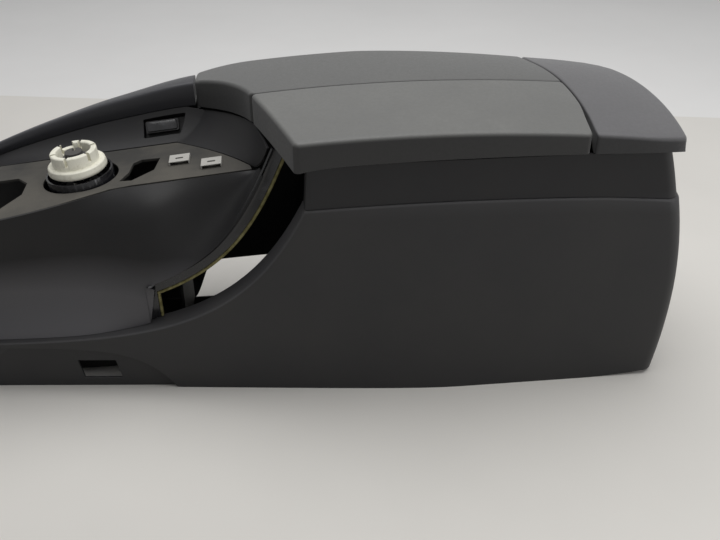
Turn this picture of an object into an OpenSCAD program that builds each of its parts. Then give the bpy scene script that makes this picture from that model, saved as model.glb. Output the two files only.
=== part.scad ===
/* [Overall] */
// Front end of the console, measured forward of the floor bolt centre
front_end_x = -480; // [-520:1:-465]
// Half width of the body side at the floor
body_half_floor = 116.5; // [112:0.5:122]
// Half width of the body side at the trim line
body_half_trim = 109; // [107:0.5:111]
// Sideways bulge of the body sides at mid height
body_bulge = 3; // [0:0.5:6]
// Height of the trim line at its highest point
trim_z = 227.3; // [215:0.5:235]
// Rear corner position at the widest height
rear_corner_x = 293; // [280:1:305]
// Height at which the rear stands furthest back
rear_belly_z = 100; // [80:5:120]
// Radius of the two rear corners in plan
rear_corner_r = 16; // [10:1:24]
// Bow of the rear face between its corners
rear_bow = 0.001; // [0.0005:0.0001:0.0016]
// Wall of the moulded outer panels
panel_wall = 3; // [2:0.1:4]
// Gap between fixed neighbouring panels
panel_gap = 0.4; // [0.3:0.05:0.8]

/* [Sweep and slot] */
// Height of the low front arm of the side panel
arm_z = 62; // [58:0.5:68]
// Rise of the sweep from the arm to the trim line
sweep_rise = 157; // [150:1:160]
// Quickness of the sweep curve
sweep_rate = 0.0121; // [0.0115:0.0001:0.0126]
// Rear end of the sweep, where the upper band starts
sweep_end_x = -100; // [-104:0.5:-96]
// Inward depth of the flange along the sweep
flange_depth = 25; // [18:1:28]
// Front end of the trim slot
slot_front_x = -250; // [-256:1:-244]
// Width of the slot for the missing trim strip
slot_width = 44; // [40:0.5:48]
// Width of the ledge that carried the trim strip
ledge_width = 13; // [10:0.5:16]
// Depth of the ledge under the knee panel
ledge_drop = 7; // [5:0.5:10]
// Width of the soft edge strip on the ledge
seal_width = 3; // [2:0.5:4]

/* [Armrest lids and cap] */
// Half width over the two lids
lid_half = 115; // [112:0.5:118]
// Height of the lid seam at its crest
lid_crest_z = 309.5; // [300:0.5:320]
// Height of the long lid edges at their crest
lid_edge_z = 301.2; // [295:0.5:306]
// Lower edge of the lid skirts at mid length
lid_skirt_z = 275.8; // [272:0.2:279]
// Front end of the seam between the lids
lid_front_x = -143; // [-150:1:-136]
// Joint between the lids and the rear cap
cap_joint_x = 180; // [176:1:183]
// Bow of that joint away from its rearmost point
cap_joint_bow = 0.0009; // [0.0006:0.0001:0.001]
// Rear edge of the cap
cap_rear_x = 274; // [268:1:280]
// Flatness of the cap's rear edge in plan
cap_rear_bow = 900; // [700:10:1200]
// Gap between the lids, and between lids and cap
lid_gap = 1.2; // [0.8:0.1:2]
// Thickness of the padded covers
cover_wall = 4; // [3:0.5:5]
// Edge radius of the padded covers
cover_r = 4.5; // [3:0.5:8]
// Thickness of the lid liners
liner_wall = 2.5; // [2:0.1:3.5]
// Lower face of the lid liners
liner_z = 278; // [277.5:0.1:279.5]

/* [Hinges] */
// Distance of each hinge axis in from the lid edge
hinge_in = 15; // [14:0.5:17]
// Height of the hinge axes
hinge_z = 264; // [263:0.5:266]
// Radius of the hinge pins
hinge_pin_r = 2; // [1.5:0.1:2.3]
// Radial clearance of the pins in their bores
pin_clear = 0.05; // [0.02:0.01:0.1]
// Outer radius of the hinge knuckles
knuckle_r = 3.5; // [3.2:0.1:3.8]
// Front hinge position
hinge_front_x = -52; // [-60:1:-40]
// Rear hinge position
hinge_rear_x = 108; // [95:1:118]
// Length of one hinge leaf knuckle
leaf_len = 18; // [14:1:24]
// Length of a bracket lug
lug_len = 6; // [4:0.5:8]
// Length of the hinge spring
hinge_spring_len = 10; // [8:0.5:14]

/* [Storage bin] */
// Front outer face of the bin
bin_front_x = -88; // [-96:1:-80]
// Rear outer face of the bin
bin_rear_x = 168; // [150:1:172]
// Distance of the bin sides in from the hinge axes
bin_in = 14; // [13.5:0.5:20]
// Rim height of the bin
bin_top_z = 258; // [250:1:261]
// Floor height of the bin
bin_floor_z = 128; // [115:1:150]
// Wall of the bin
bin_wall = 2.5; // [2:0.1:3.5]
// Thickness of the rubber mat
mat_t = 2; // [1.5:0.1:3]

/* [Front deck] */
// Height of the deck at the controller
deck_z = 217; // [212:0.5:222]
// Rise of the deck toward the rear, in degrees
deck_tilt = 5.7; // [4:0.1:7]
// Thickness of the deck
deck_t = 3; // [2:0.1:4]
// Controller position along the deck
ctrl_x = -323; // [-330:1:-314]
// Controller position across the deck
ctrl_y = 1; // [-5:0.5:6]
// Far edge of the deck
deck_far_y = 56; // [52:0.5:60]

/* [Controller] */
// Outer radius of the white hub
hub_r = 30; // [26:0.5:32]
// Height of the hub above the deck
hub_lift = 13; // [10:0.5:16]
// Height of the hub skirt ring
hub_ring_h = 9; // [6:0.5:12]
// Radius of the castellated hub crown
crown_r = 23.5; // [20:0.5:26]
// Height of the crown above the skirt ring
crown_h = 13; // [10:0.5:18]
// Press travel of the controller
press_travel = 1.5; // [1:0.1:2]
// Tilt of the controller to each side, in degrees
tilt_travel = 3; // [2:0.5:4]

/* [Release key] */
// Width of the key face
key_w = 32; // [28:1:34]
// Height of the key face
key_h = 10; // [8:0.5:11]
// Press travel of the key
key_travel = 2.5; // [1.5:0.1:3]

/* [Mounting] */
// Spacing of the floor bolts along the console
bolt_pitch_x = 220; // [200:1:240]
// Spacing of the floor bolts across the console
bolt_pitch_y = 110; // [100:1:120]
// Diameter of the floor bolt holes
bolt_hole_d = 8.5; // [7:0.1:10]
// Thickness of the steel floor brackets
bracket_t = 3; // [2:0.1:4]

/* [Hidden] */
$fn = 48;

plastic = [0.15, 0.15, 0.155];
leather = [0.44, 0.44, 0.43];
dusty = [0.37, 0.37, 0.35];
gloss = [0.05, 0.05, 0.06];
zinc = [0.72, 0.72, 0.7];
cream = [0.87, 0.86, 0.8];
olive = [0.42, 0.4, 0.22];
rubber = [0.08, 0.08, 0.08];

// Station and row helpers for the curved mouldings
function lerp(a, b, t) = a + (b - a) * t;
function soft(d, w) = sqrt(pow(max(0, d), 2) + w * w) - w;
function steps(a, b, n) = [for (i = [0:n - 1]) lerp(a, b, i / n)];
function cat(lists) = [for (l = lists) each l];
function unit2(v) = v / max(0.001, norm(v));

// Faces of a closed shell between two point grids with n by m points each
function grid_faces(n, m, base, flip) = [
  for (i = [0:n - 2], j = [0:m - 2])
    let (a = base + i * m + j, b = a + 1, c = a + m, d = c + 1)
      each flip ? [[a, c, b], [b, c, d]] : [[a, b, c], [b, d, c]]
];
function rim(n, m) = cat([
  [for (i = [0:n - 1]) i * m],
  [for (j = [1:m - 1]) (n - 1) * m + j],
  [for (i = [n - 2:-1:0]) i * m + m - 1],
  [for (j = [m - 2:-1:1]) j]
]);
module shell_between(outer, inner, flip = false) {
  n = len(outer);
  m = len(outer[0]);
  edge = rim(n, m);
  ne = len(edge);
  polyhedron(
    points = cat([[for (r = outer) each r], [for (r = inner) each r]]),
    faces = cat([
      grid_faces(n, m, 0, flip),
      grid_faces(n, m, n * m, !flip),
      [for (k = [0:ne - 1])
        let (a = edge[k], b = edge[(k + 1) % ne], c = a + n * m, d = b + n * m)
          each flip ? [[a, c, b], [b, c, d]] : [[a, b, c], [b, d, c]]]
    ])
  );
}

// Solid swept through rings of equal point count
module ring_sweep(rings) {
  n = len(rings);
  m = len(rings[0]);
  polyhedron(
    points = [for (r = rings) each r],
    faces = cat([
      [for (i = [0:n - 2], j = [0:m - 1])
        let (a = i * m + j, b = i * m + (j + 1) % m, c = a + m, d = b + m)
          each [[a, c, b], [b, c, d]]],
      [[for (j = [0:m - 1]) j]],
      [[for (j = [m - 1:-1:0]) (n - 1) * m + j]]
    ])
  );
}

// Plan and side curves of the body
function half_floor(x) = body_half_floor - 0.12 * soft(70 - x, 60);
function half_trim(x) = body_half_trim - 0.075 * soft(-110 - x, 40);
function half_at(x, z, top) =
  let (t = min(1, z / trim_z))
    lerp(half_floor(x), top, t) + body_bulge * 4 * t * (1 - t);
function half_near(x, z) = half_at(x, z, half_trim(x));
function half_far(x, z) = half_at(x, z, body_half_trim);
function sweep_z(x) = arm_z + sweep_rise * exp(sweep_rate * (x - sweep_end_x));
function sweep_slope(x) = sweep_rate * (sweep_z(x) - arm_z);
function trim_line(x) = trim_z - pow(x - 30, 2) / 7500;
function rear_x(z) =
  rear_corner_x - pow(z - rear_belly_z, 2) / (z > rear_belly_z ? 950 : 1500);
corner_turn = 78;
side_end_x = 200;
rear_split_y = 86;
rear_lift = 5;

side_mid = [for (t = [0.12, 0.33, 0.6, 0.83]) lerp(sweep_end_x + 3, side_end_x, t)];
slot_end_x = slot_front_x - 12;
hinge_y = lid_half - hinge_in;
bin_half = hinge_y - bin_in;

// Point on the side at station s: along the side, round the corner, then along the rear
function side_pt(s, z, off, far) =
  let (
    half = far ? half_far(min(s, side_end_x), z) : half_near(min(s, side_end_x), z),
    cx = rear_x(z) - rear_corner_r,
    cy = half - rear_corner_r,
    ex = cx + (rear_corner_r - off) * sin(corner_turn),
    ey = cy + (rear_corner_r - off) * cos(corner_turn)
  )
    s <= side_end_x ? [s, half - off] :
    s <= side_end_x + 1 ? [lerp(side_end_x, cx, s - side_end_x), half - off] :
    s <= side_end_x + 2 ?
      let (a = corner_turn * (s - side_end_x - 1))
        [cx + (rear_corner_r - off) * sin(a), cy + (rear_corner_r - off) * cos(a)] :
      let (y = lerp(ey, rear_split_y, s - side_end_x - 2))
        [ex + rear_bow * (ey * ey - y * y), y];
function rear_pt(y, z, off) =
  let (e = side_pt(side_end_x + 2, z, off, false))
    [e[0] + rear_bow * (e[1] * e[1] - y * y), y];

// Lower edge of the near side panel: a raised arm in front, then down to the floor
arm_foot_x = -243;
function near_low(s) =
  s < arm_foot_x ? (arm_z - 3) * (1 - exp((s - arm_foot_x) / 30)) :
  s > side_end_x ? rear_lift * pow(min(1, s - side_end_x), 2) : 0;
function near_high(s) = s > side_end_x ? trim_line(lerp(side_end_x, rear_corner_x, min(1, s - side_end_x)))
  : min(sweep_z(s), trim_line(s));
trim_corner_x = sweep_end_x + 3;

// Rows of a side panel section: up the outer face, over the edge, inward along the flange
panel_rows = [0, 0.22, 0.45, 0.7, 0.88, 1];
function side_section(s, low, high, depth, slope, far, off) =
  let (
    k = sqrt(1 + slope * slope),
    r = min(5, 0.35 * (high - low)),
    ri = off > 0 ? max(0.4, r - off) : r,
    sgn = far ? 1 : -1,
    edge = side_pt(s, high, 0, far),
    turn = s > side_end_x + 2.5 ? 90 : corner_turn * max(0, min(1, s - side_end_x - 1)),
    inward = [-sin(turn), -cos(turn)]
  )
    cat([
      [for (v = panel_rows)
        let (z = lerp(low, high - (off + ri) * k, v), p = side_pt(s, z, off, far)) [p[0], sgn * p[1], z]],
      [let (q = edge + inward * (off + ri * 0.3), z = high - (off + ri * 0.3) * k) [q[0], sgn * q[1], z]],
      [let (q = edge + inward * (off + ri)) [q[0], sgn * q[1], high - off * k]],
      [let (q = edge + inward * depth) [q[0], sgn * q[1], high - off * k]]
    ]);
near_stations = cat([
  steps(front_end_x, slot_end_x, 6), steps(slot_end_x, trim_corner_x, 13),
  [trim_corner_x, trim_corner_x + 1], side_mid, [side_end_x],
  [side_end_x + 0.5, side_end_x + 1, side_end_x + 1.33, side_end_x + 1.67, side_end_x + 2, side_end_x + 3]
]);
function near_depth(s) = s <= trim_corner_x ? flange_depth : 7;
function near_slope(s) = s <= trim_corner_x ? sweep_slope(s) : 0;
module near_side_panel() {
  color(plastic) shell_between(
    [for (s = near_stations)
      side_section(s, near_low(s), near_high(s), near_depth(s), near_slope(s), false, 0)],
    [for (s = near_stations)
      side_section(s, near_low(s), near_high(s), near_depth(s), near_slope(s), false, panel_wall)]
  );
}

// Far side panel: plain, with a raised arch in its lower edge, up to the rail in front
arch_front_x = -236;
arch_rear_x = -70;
arch_h = 50;
arch_ramp = 30;
function ease(t) = let (c = max(0, min(1, t))) c * c * (3 - 2 * c);
function far_low(s) =
  s > side_end_x ? rear_lift * pow(min(1, s - side_end_x), 2) :
  arch_h * ease((s - arch_front_x) / arch_ramp) * ease((arch_rear_x - s) / arch_ramp);
rail_rear_x = -205;
rail_top_z = 286;
function rail_inner_z(x) = let (u = rail_rear_x - x) rail_top_z - 0.1 * u - 0.0007 * u * u - 4 * ease(u / 90) - 2 * ease((u - 80) / 80);
function rail_outer_z(x) = rail_inner_z(x) - 2 - 0.04 * (rail_rear_x - x);
function rail_low_z(x) = rail_inner_z(x) - max(10, 26 - 0.06 * (rail_rear_x - x));
function rail_under_z(x) = min(rail_low_z(x), rail_outer_z(x) - rail_r - 2);
function far_high(s) =
  s < rail_rear_x - 0.5 ? rail_under_z(s) - panel_gap :
  s > side_end_x ? near_high(s) : trim_line(s);
far_stations = cat([
  steps(front_end_x, arch_front_x, 5), steps(arch_front_x, arch_front_x + arch_ramp, 4),
  [rail_rear_x - 1, rail_rear_x - 0.4, lerp(arch_front_x, arch_rear_x, 0.5)],
  steps(arch_rear_x - arch_ramp, arch_rear_x, 4), [arch_rear_x, side_mid[1], side_mid[2], side_mid[3], side_end_x],
  [side_end_x + 0.5, side_end_x + 1, side_end_x + 1.33, side_end_x + 1.67, side_end_x + 2, side_end_x + 3]
]);
module far_side_panel() {
  color(plastic) shell_between(
    [for (s = far_stations) side_section(s, far_low(s), far_high(s), 7, 0, true, 0)],
    [for (s = far_stations) side_section(s, far_low(s), far_high(s), 7, 0, true, panel_wall)],
    flip = true
  );
}

// Rear cover between the two corner returns
rear_cover_half = rear_split_y - panel_gap;
module rear_cover() {
  rows = [0, 0.15, 0.32, 0.5, 0.7, 0.86, 1];
  top = near_high(side_end_x + 3);
  ys = [for (i = [0:8]) lerp(-rear_cover_half, rear_cover_half, i / 8)];
  function face(y, off) = [for (v = rows) let (z = lerp(rear_lift, top, v), p = rear_pt(y, z, off)) [p[0], p[1], z]];
  color(plastic) shell_between(
    [for (y = ys) face(y, 0)], [for (y = ys) face(y, panel_wall)]
  );
}

// Upper band: one moulding round the near side, the rear and the far side, under the lids
band_recess = 2;
band_wall = 2.5;
band_top_z = 271.2;
band_lean = 0.07;
band_return = 22;
function band_low(s, far) = (far ? far_high(s) : near_high(s)) + panel_gap;
band_notch_z = 253.8;
band_notch_x = -199.5;
function band_top(x) = x < band_notch_x ? band_notch_z : band_top_z;
function band_front_x(z, far) =
  far ? rail_rear_x + 0.6 : trim_corner_x + 0.4 + band_lean * (z - trim_z);
band_rows = [0, 0.35, 0.7, 1];
function band_column(s, far, off) = [for (v = band_rows)
  let (z = lerp(band_low(s, far), band_top(s), v), p = side_pt(s, z, off, far)) [p[0], (far ? 1 : -1) * p[1], z]];
function band_front(far, inset, dx, low) = [for (v = band_rows)
  let (z = lerp(low, far ? band_notch_z : band_top_z, v), y = (far ? half_far(rail_rear_x, z) : half_near(trim_corner_x, z)) - inset)
    [band_front_x(z, far) + dx, (far ? 1 : -1) * y, z]];
band_side_near = cat([side_mid, [side_end_x]]);
band_side_far = [
  side_end_x, side_mid[3], side_mid[2], side_mid[1], arch_rear_x, lerp(rail_rear_x, arch_rear_x, 0.48),
  band_notch_x + 0.7, band_notch_x - 0.5
];
band_corner = [side_end_x + 1, side_end_x + 1.33, side_end_x + 1.67, side_end_x + 2];
function band_rear(y, off) = [for (v = band_rows)
  let (z = lerp(band_low(side_end_x + 3, false), band_top_z, v), p = rear_pt(y, z, off)) [p[0], y, z]];
function band_shell(off) =
  let (
    w = band_recess + off,
    low_n = band_low(trim_corner_x + 1, false),
    low_f = band_low(rail_rear_x + 1, true)
  )
    cat([
      [band_front(false, band_return, off, low_n)],
      [band_front(false, w + (off > 0 ? 0 : 1.5), off, low_n)],
      [band_front(false, w, max(off, 1.5), low_n)],
      [for (s = band_side_near) band_column(s, false, w)],
      [for (s = band_corner) band_column(s, false, w)],
      [for (y = [-60, -20, 20, 60]) band_rear(y, w)],
      [for (i = [3:-1:0]) band_column(band_corner[i], true, w)],
      [for (s = band_side_far) band_column(s, true, w)],
      [band_front(true, w, max(off, 1.5), low_f)],
      [band_front(true, w + (off > 0 ? 0 : 1.5), off, low_f)],
      [band_front(true, band_return, off, low_f)]
    ]);
module upper_band() {
  color(plastic) shell_between(band_shell(0), band_shell(band_wall));
}

// Foot strip: a flat plate under the front arm, with one rectangular hole
strip_len = slot_end_x + 8 - front_end_x;
strip_in = 11;
strip_turn_in = 2;
strip_y = strip_in - half_near(front_end_x, arm_z);
strip_angle = asin((half_near(front_end_x + strip_len, arm_z) - strip_turn_in - half_near(front_end_x, arm_z)) / strip_len);
strip_tail = 20;
strip_tail_h = 22;
strip_t = 2.5;
strip_hole = [138, 11];
strip_hole_size = [41, 24];
module foot_strip() {
  color(plastic) translate([front_end_x, strip_y, 0]) rotate([0, 0, -strip_angle]) rotate([90, 0, 0])
    linear_extrude(strip_t) difference() {
      polygon(cat([
        [[0, 0], [strip_len + strip_tail, 0], [strip_len + strip_tail, strip_tail_h]],
        [for (i = [12:-1:0]) let (u = strip_len * i / 12, x = front_end_x + u)
          [u, min(max(strip_tail_h, near_low(x) + 4), sweep_z(x) - panel_wall - panel_gap)]]
      ]));
      polygon([
        strip_hole, strip_hole + [strip_hole_size[0], 0],
        strip_hole + [strip_hole_size[0] - 4, strip_hole_size[1]], strip_hole + [-4, strip_hole_size[1]]
      ]);
    }
}

// Slot curves: the sweep moved up and forward by a width w
function sweep_offset(x, w) = let (t = atan(sweep_slope(x))) [x - w * sin(t), sweep_z(x) + w * cos(t)];
function slot_end(w) = slot_end_x + (slot_width - w) * 0.85;
function slot_base(w) = slot_end(w) + 0.31 * w;
slot_rise = [8, 16, 24];
function slot_path(w) =
  let (xe = slot_end(w), c = sweep_offset(slot_base(w), w))
    cat([
      [for (t = [0, 0.35, 0.7]) [xe + (c[0] - xe) * t, lerp(sweep_z(xe) + 1, c[1], t)]],
      [for (i = [0:11]) sweep_offset(lerp(slot_base(w), trim_corner_x, i / 11), w)],
      [for (e = slot_rise) sweep_offset(trim_corner_x, w) + [0.5 * e, e]]
    ]);
function slot_y(z) = -80 + 16 * pow(max(0, z - 170) / 92, 1.3);
function slot_row(w, dy, dw = 0) = [for (p = slot_path(w)) [p[0], slot_y(p[1]) + dy, p[1]]];
function transpose(g) = [for (i = [0:len(g[0]) - 1]) [for (j = [0:len(g) - 1]) g[j][i]]];

// Ledge that carried the trim strip, set back behind the edge of the knee panel
ledge_wall = 2;
ledge_seat = 0.5;
module trim_ledge() {
  inner_w = slot_width - ledge_width;
  outer = [
    slot_row(slot_width - 0.7, knee_wall + ledge_seat), slot_row(slot_width - 1.9, ledge_drop),
    slot_row(inner_w, ledge_drop)
  ];
  inner = [
    slot_row(slot_width - 0.7, knee_wall + ledge_seat + ledge_wall),
    slot_row(slot_width - 1, ledge_drop + ledge_wall), slot_row(inner_w, ledge_drop + ledge_wall)
  ];
  color(gloss) shell_between(transpose(outer), transpose(inner), flip = true);
}

// Soft edge strip pressed on the free edge of the ledge
seal_depth = 4;
module ledge_seal() {
  w0 = slot_width - ledge_width - 0.3;
  rows = [
    slot_row(w0, ledge_drop - 0.8), slot_row(w0 - seal_width, ledge_drop - 0.8),
    slot_row(w0 - seal_width, ledge_drop + seal_depth), slot_row(w0, ledge_drop + seal_depth)
  ];
  color(olive) ring_sweep(transpose(rows));
}

// Deck: a flat tilted plate with the selector, controller and switch openings
function deck_at(x) = deck_z + tan(deck_tilt) * (x + 340);
function deck_near_y(x) = -38 - 46 * (1 - exp(-pow(max(0, -280 - x) / 85, 1.3)));
function deck_rear_x(y) = -140 - 0.55 * (y + 38) - 0.0042 * pow(y + 38, 2);
deck_tip_x = -141;
deck_gap = 0.8;
deck_far_gap = 1.5;
module on_deck() {
  translate([-340, 0, deck_z]) rotate([0, -deck_tilt, 0]) children();
}
// Local deck coordinate of a body coordinate along the console
function deck_u(x) = (x + 340) / cos(deck_tilt);
selector_rear_x = -379;
selector_half = 33;
selector_y = -16;
module deck_outline() {
  polygon(cat([
    [for (i = [0:14]) let (x = lerp(front_end_x, deck_tip_x - 5, i / 14)) [deck_u(x), deck_near_y(x) + knee_wall + 2 * panel_gap]],
    [for (i = [0:9]) let (y = lerp(-27, deck_far_y - deck_far_gap, i / 9)) [deck_u(deck_rear_x(y) - deck_gap), y]],
    [[deck_u(front_end_x), deck_far_y - deck_far_gap]]
  ]));
}
ctrl_hole_r = 34.6;
ctrl_hole_shift = 4;
module deck_holes() {
  for (i = [-1, 1]) translate([deck_u(ctrl_x) + i * ctrl_hole_shift, ctrl_y]) circle(ctrl_hole_r);
  translate([deck_u(ctrl_x) - ctrl_hole_shift, ctrl_y - ctrl_hole_r]) square([2 * ctrl_hole_shift, 2 * ctrl_hole_r]);
  polygon([
    [deck_u(-281), -22], [deck_u(-268), -24], [deck_u(-247), -6], [deck_u(-243), 21],
    [deck_u(-258), 22], [deck_u(-263), 22.5], [deck_u(-271), 16], [deck_u(-273), -4]
  ]);
  translate([deck_u(front_end_x) + 26, selector_y - selector_half])
    square([deck_u(selector_rear_x) - deck_u(front_end_x) - 42, 2 * selector_half]);
  polygon([
    [deck_u(selector_rear_x) - 17, selector_y - selector_half],
    [deck_u(selector_rear_x) - 17, selector_y + selector_half],
    [deck_u(selector_rear_x) - 12, selector_y + selector_half],
    [deck_u(selector_rear_x), selector_y + selector_half - 14], [deck_u(selector_rear_x), selector_y - 6]
  ]);
}
module deck_panel() {
  color(dusty) on_deck() translate([0, 0, -deck_t]) linear_extrude(deck_t) difference() {
    deck_outline();
    deck_holes();
  }
}

// Two spring clips standing on the deck
clip_size = [21, 17];
clip_places = [[-221, 6], [-187, -12]];
module deck_clips() {
  color(zinc) on_deck() for (p = clip_places) translate([deck_u(p[0]), p[1], 0.05]) {
    difference() {
      translate([-clip_size[0] / 2, -clip_size[1] / 2, 3]) cube([clip_size[0], clip_size[1], 1]);
      translate([-4, -2, 2]) cube([8, 3, 3]);
    }
    for (i = [-1, 1]) translate([i * (clip_size[0] / 2 - 0.5) - 0.5, -clip_size[1] / 2, 0]) cube([1, clip_size[1], 3.5]);
  }
}

// Knee panel: a scooped patch from the deck edge to the arm and to the slot
knee_wall = 2.5;
knee_edge_gap = 7;
knee_rows = [0, 0.08, 0.2, 0.34, 0.5, 0.66, 0.8, 0.88, 0.94, 1];
knee_arm_n = 9;
knee_slot = slot_path(slot_width);
knee_slot_n = len(knee_slot) - len(slot_rise);
knee_skip = 2;
knee_low = cat([
  [for (x = steps(front_end_x, slot_end_x, knee_arm_n))
    [x, -(half_near(x, sweep_z(x)) - knee_edge_gap - 5 * ease((x + 340) / 78)), sweep_z(x) + panel_gap]],
  [for (i = [0:knee_slot_n - 1]) if (i == 0 || i > knee_skip)
    [knee_slot[i][0], slot_y(knee_slot[i][1]), knee_slot[i][1]]]
]);
function knee_top_x(i) = i < knee_arm_n ? knee_low[i][0] : i == knee_arm_n ? slot_end_x - 8
  : lerp(slot_end_x, deck_tip_x, pow((i - knee_arm_n - 1) / (len(knee_low) - knee_arm_n - 2), 0.9));
function knee_column(i, off) =
  let (b = knee_low[i], x = knee_top_x(i), t = [x, deck_near_y(x), deck_at(x)],
    w = exp(-pow((b[0] + 256) / 45, 2)),
    c = lerp(12 + 8 * ease((slot_front_x - x) / 150), 0.5, w),
    bend = lerp(1, 0.2, w))
    [for (v = knee_rows)
      let (y = lerp(t[1], b[1], pow(v, bend)) + c * 6.75 * v * v * (1 - v), edge = v == 0 || v == 1)
        [lerp(t[0], b[0], v), y + off, lerp(t[2], b[2], v) - (edge ? 0 : off * 0.4)]];
module knee_panel() {
  n = len(knee_low);
  color(plastic) shell_between(
    [for (i = [0:n - 1]) knee_column(i, 0)], [for (i = [0:n - 1]) knee_column(i, knee_wall)]
  );
}

// Inner wall: from the far rail round to the near end of the slot, under the lid fronts
inner_wall_t = 2.5;
wall_sag = 3;
rail_inner_y = 80;
function lid_front(y) = lid_front_x - 0.34 * y - (y > 0 ? 0.005 * y * y : 0);
front_low_z = 271.5;
function lid_front_low(y) = front_low_z - pow(y + 25, 2) / (y > -25 ? 804 : 1900);
wall_clear = 3;
pocket_x0 = -264;
pocket_x1 = -216;
pocket_foot_x = -228;
pocket_depth = 7;
wall_rows = [0, 0.26, 0.3, 0.55, 0.8, 0.84, 1];
wall_side_x = cat([steps(front_end_x, pocket_x0, 6), [pocket_x0, pocket_x0 + 1.5, -242, pocket_x1 - 1.5, pocket_x1]]);
wall_rear_y = [54, 46, 36, 24, 10, -6, -22, -32.6];
wall_rear_top_y = [77, 72, 62, 46, 24, -4, -32, -55.5];
function wall_low(i) = i < len(wall_side_x) ?
  let (x = wall_side_x[i]) [min(x, pocket_foot_x + (x - pocket_x1) * 0.3), deck_far_y, deck_at(min(x, pocket_foot_x + (x - pocket_x1) * 0.3))] :
  let (y = wall_rear_y[i - len(wall_side_x)], x = deck_rear_x(y)) [x, y, deck_at(x)];
function wall_high(i) = i < len(wall_side_x) ?
  let (x = wall_side_x[i]) [x, rail_inner_y - 0.5, rail_low_z(x) - panel_gap] :
  let (y = wall_rear_top_y[i - len(wall_side_x)])
    [lid_front(y) + 3 + 9 * min(0, y) / 62, y, lid_front_low(y) - wall_clear];
function in_pocket(i, v, grow) =
  i < len(wall_side_x) && wall_side_x[i] > pocket_x0 + 1 - grow && wall_side_x[i] < pocket_x1 - 1 + grow
  && v > 0.28 - grow * 0.03 && v < 0.82 + grow * 0.03;
// Direction out of the back of the wall at a station
function wall_back(a, b) = let (w = b - a, h = norm([w[0], w[1]])) [w[0] * w[2] / h, w[1] * w[2] / h, -h] / norm(w);
function wall_column(i, off) =
  let (a = wall_low(i), b = wall_high(i), d = wall_back(a, b))
    [for (v = wall_rows)
      let (k = in_pocket(i, v, off > 0 ? 1.2 : 0) ? pocket_depth : 0)
        lerp(a, b, v) + d * (off + 12 * wall_sag * v * (1 - v) / 3) + k * [0, 0.76, -0.65]];
module inner_wall() {
  n = len(wall_side_x) + len(wall_rear_y);
  color(plastic) shell_between(
    [for (i = [0:n - 1]) wall_column(i, 0)], [for (i = [0:n - 1]) wall_column(i, inner_wall_t)]
  );
}

// Far rail: a padded rail that carries on from the far lid
rail_outer_y = 112;
rail_r = 4;
rail_end_x = rail_rear_x - lid_gap / 2;
function rail_ring(x) =
  let (lo = rail_low_z(x), zi = rail_inner_z(x), zo = rail_outer_z(x))
    [
      [x, rail_inner_y, lo], [x, rail_inner_y - 1, (lo + zi) / 2], [x, rail_inner_y, zi - rail_r],
      [x, rail_inner_y + 1.2, zi - 1.2], [x, rail_inner_y + rail_r, zi], [x, 96, (zi + zo) / 2 + 1.5],
      [x, rail_outer_y - rail_r, zo], [x, rail_outer_y - 1.2, zo - 1.2], [x, rail_outer_y, zo - rail_r],
      [x, rail_outer_y, rail_under_z(x)]
    ];
module far_rail() {
  color(leather) ring_sweep([for (x = cat([steps(front_end_x, rail_end_x, 12), [rail_end_x]])) rail_ring(x)]);
}

// Crowned top of the lids and the cap, and the lower edge of their skirts
top_mid_x = 20;
top_bow = 3500;
front_fall = 650;
// Fall of the far lid edge toward the rear, beyond the near one
far_rise = 3;
function far_slope_fall(x) = soft(0.048 * (x - 30 - soft(x - 150, 40)) + far_rise, 0.5) - far_rise;
function top_z(x, y) =
  let (
    t = min(1, abs(y) / lid_half),
    far_fall = y > 0 ? far_slope_fall(x) : 0
  )
    lerp(lid_crest_z, lid_edge_z - far_fall, t * t) - pow(x - top_mid_x, 2) / top_bow
      - pow(max(0, lid_front_x - x), 2) / front_fall;
function skirt_z(x) = lid_skirt_z - pow(max(-108, x) - 70, 2) / 9500;
function lid_low(x, y) =
  let (w = exp(-max(0, x - lid_front(y)) / 18)) lerp(skirt_z(x), min(skirt_z(x), lid_front_low(y)), w);
// The joint bows forward less and less near the far hinge, so the far lid can swing past the cap
cap_joint_y = -48;
joint_bend_y = 50;
joint_soft = 40;
function joint_reach(y) = y < joint_bend_y ? y - cap_joint_y :
  joint_bend_y - cap_joint_y + joint_soft * (1 - exp((joint_bend_y - y) / joint_soft));
function cap_joint(y) = cap_joint_x - cap_joint_bow * pow(joint_reach(y), 2);
joint_widen = [2.4, 1.4];
function joint_gap(y) = lid_gap + joint_widen[y < 0 ? 0 : 1] * ease((abs(y) - 50) / 40);
cap_corner_r = [14, 45];
cap_rear_y = -45;
cap_low_corner_r = [8, 30];
function cap_rear(y, radii = cap_corner_r) = let (r = radii[y < 0 ? 0 : 1], d = max(0, abs(y) - (lid_half - r)))
  cap_rear_x - pow(y - cap_rear_y, 2) / cap_rear_bow - (r - sqrt(max(0, r * r - d * d)));
function far_lid_front(y) = max(rail_rear_x + lid_gap / 2, lid_front(min(y, lid_half)));

// Grid over a plan region; the outer rings turn down over the edge into the skirt
function ring_of(i, j, n, m) = min(i, n - i, j, m - j);
function drop_of(k, r) = k == 1 ? r : k == 2 ? r * 0.3 : 0;
// Fraction across one direction, with the first and last three lines kept at the edge
function line_at(i, n, len, r) =
  let (a = min(i, n - i), d = a == 0 ? 0 : a == 1 ? 0 : a == 2 ? r * 0.3 / len : 0,
    f = a >= 3 ? lerp(r / len, 1 - r / len, (i - 3) / (n - 6)) : (i < n / 2 ? d : 1 - d))
    f;
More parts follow.
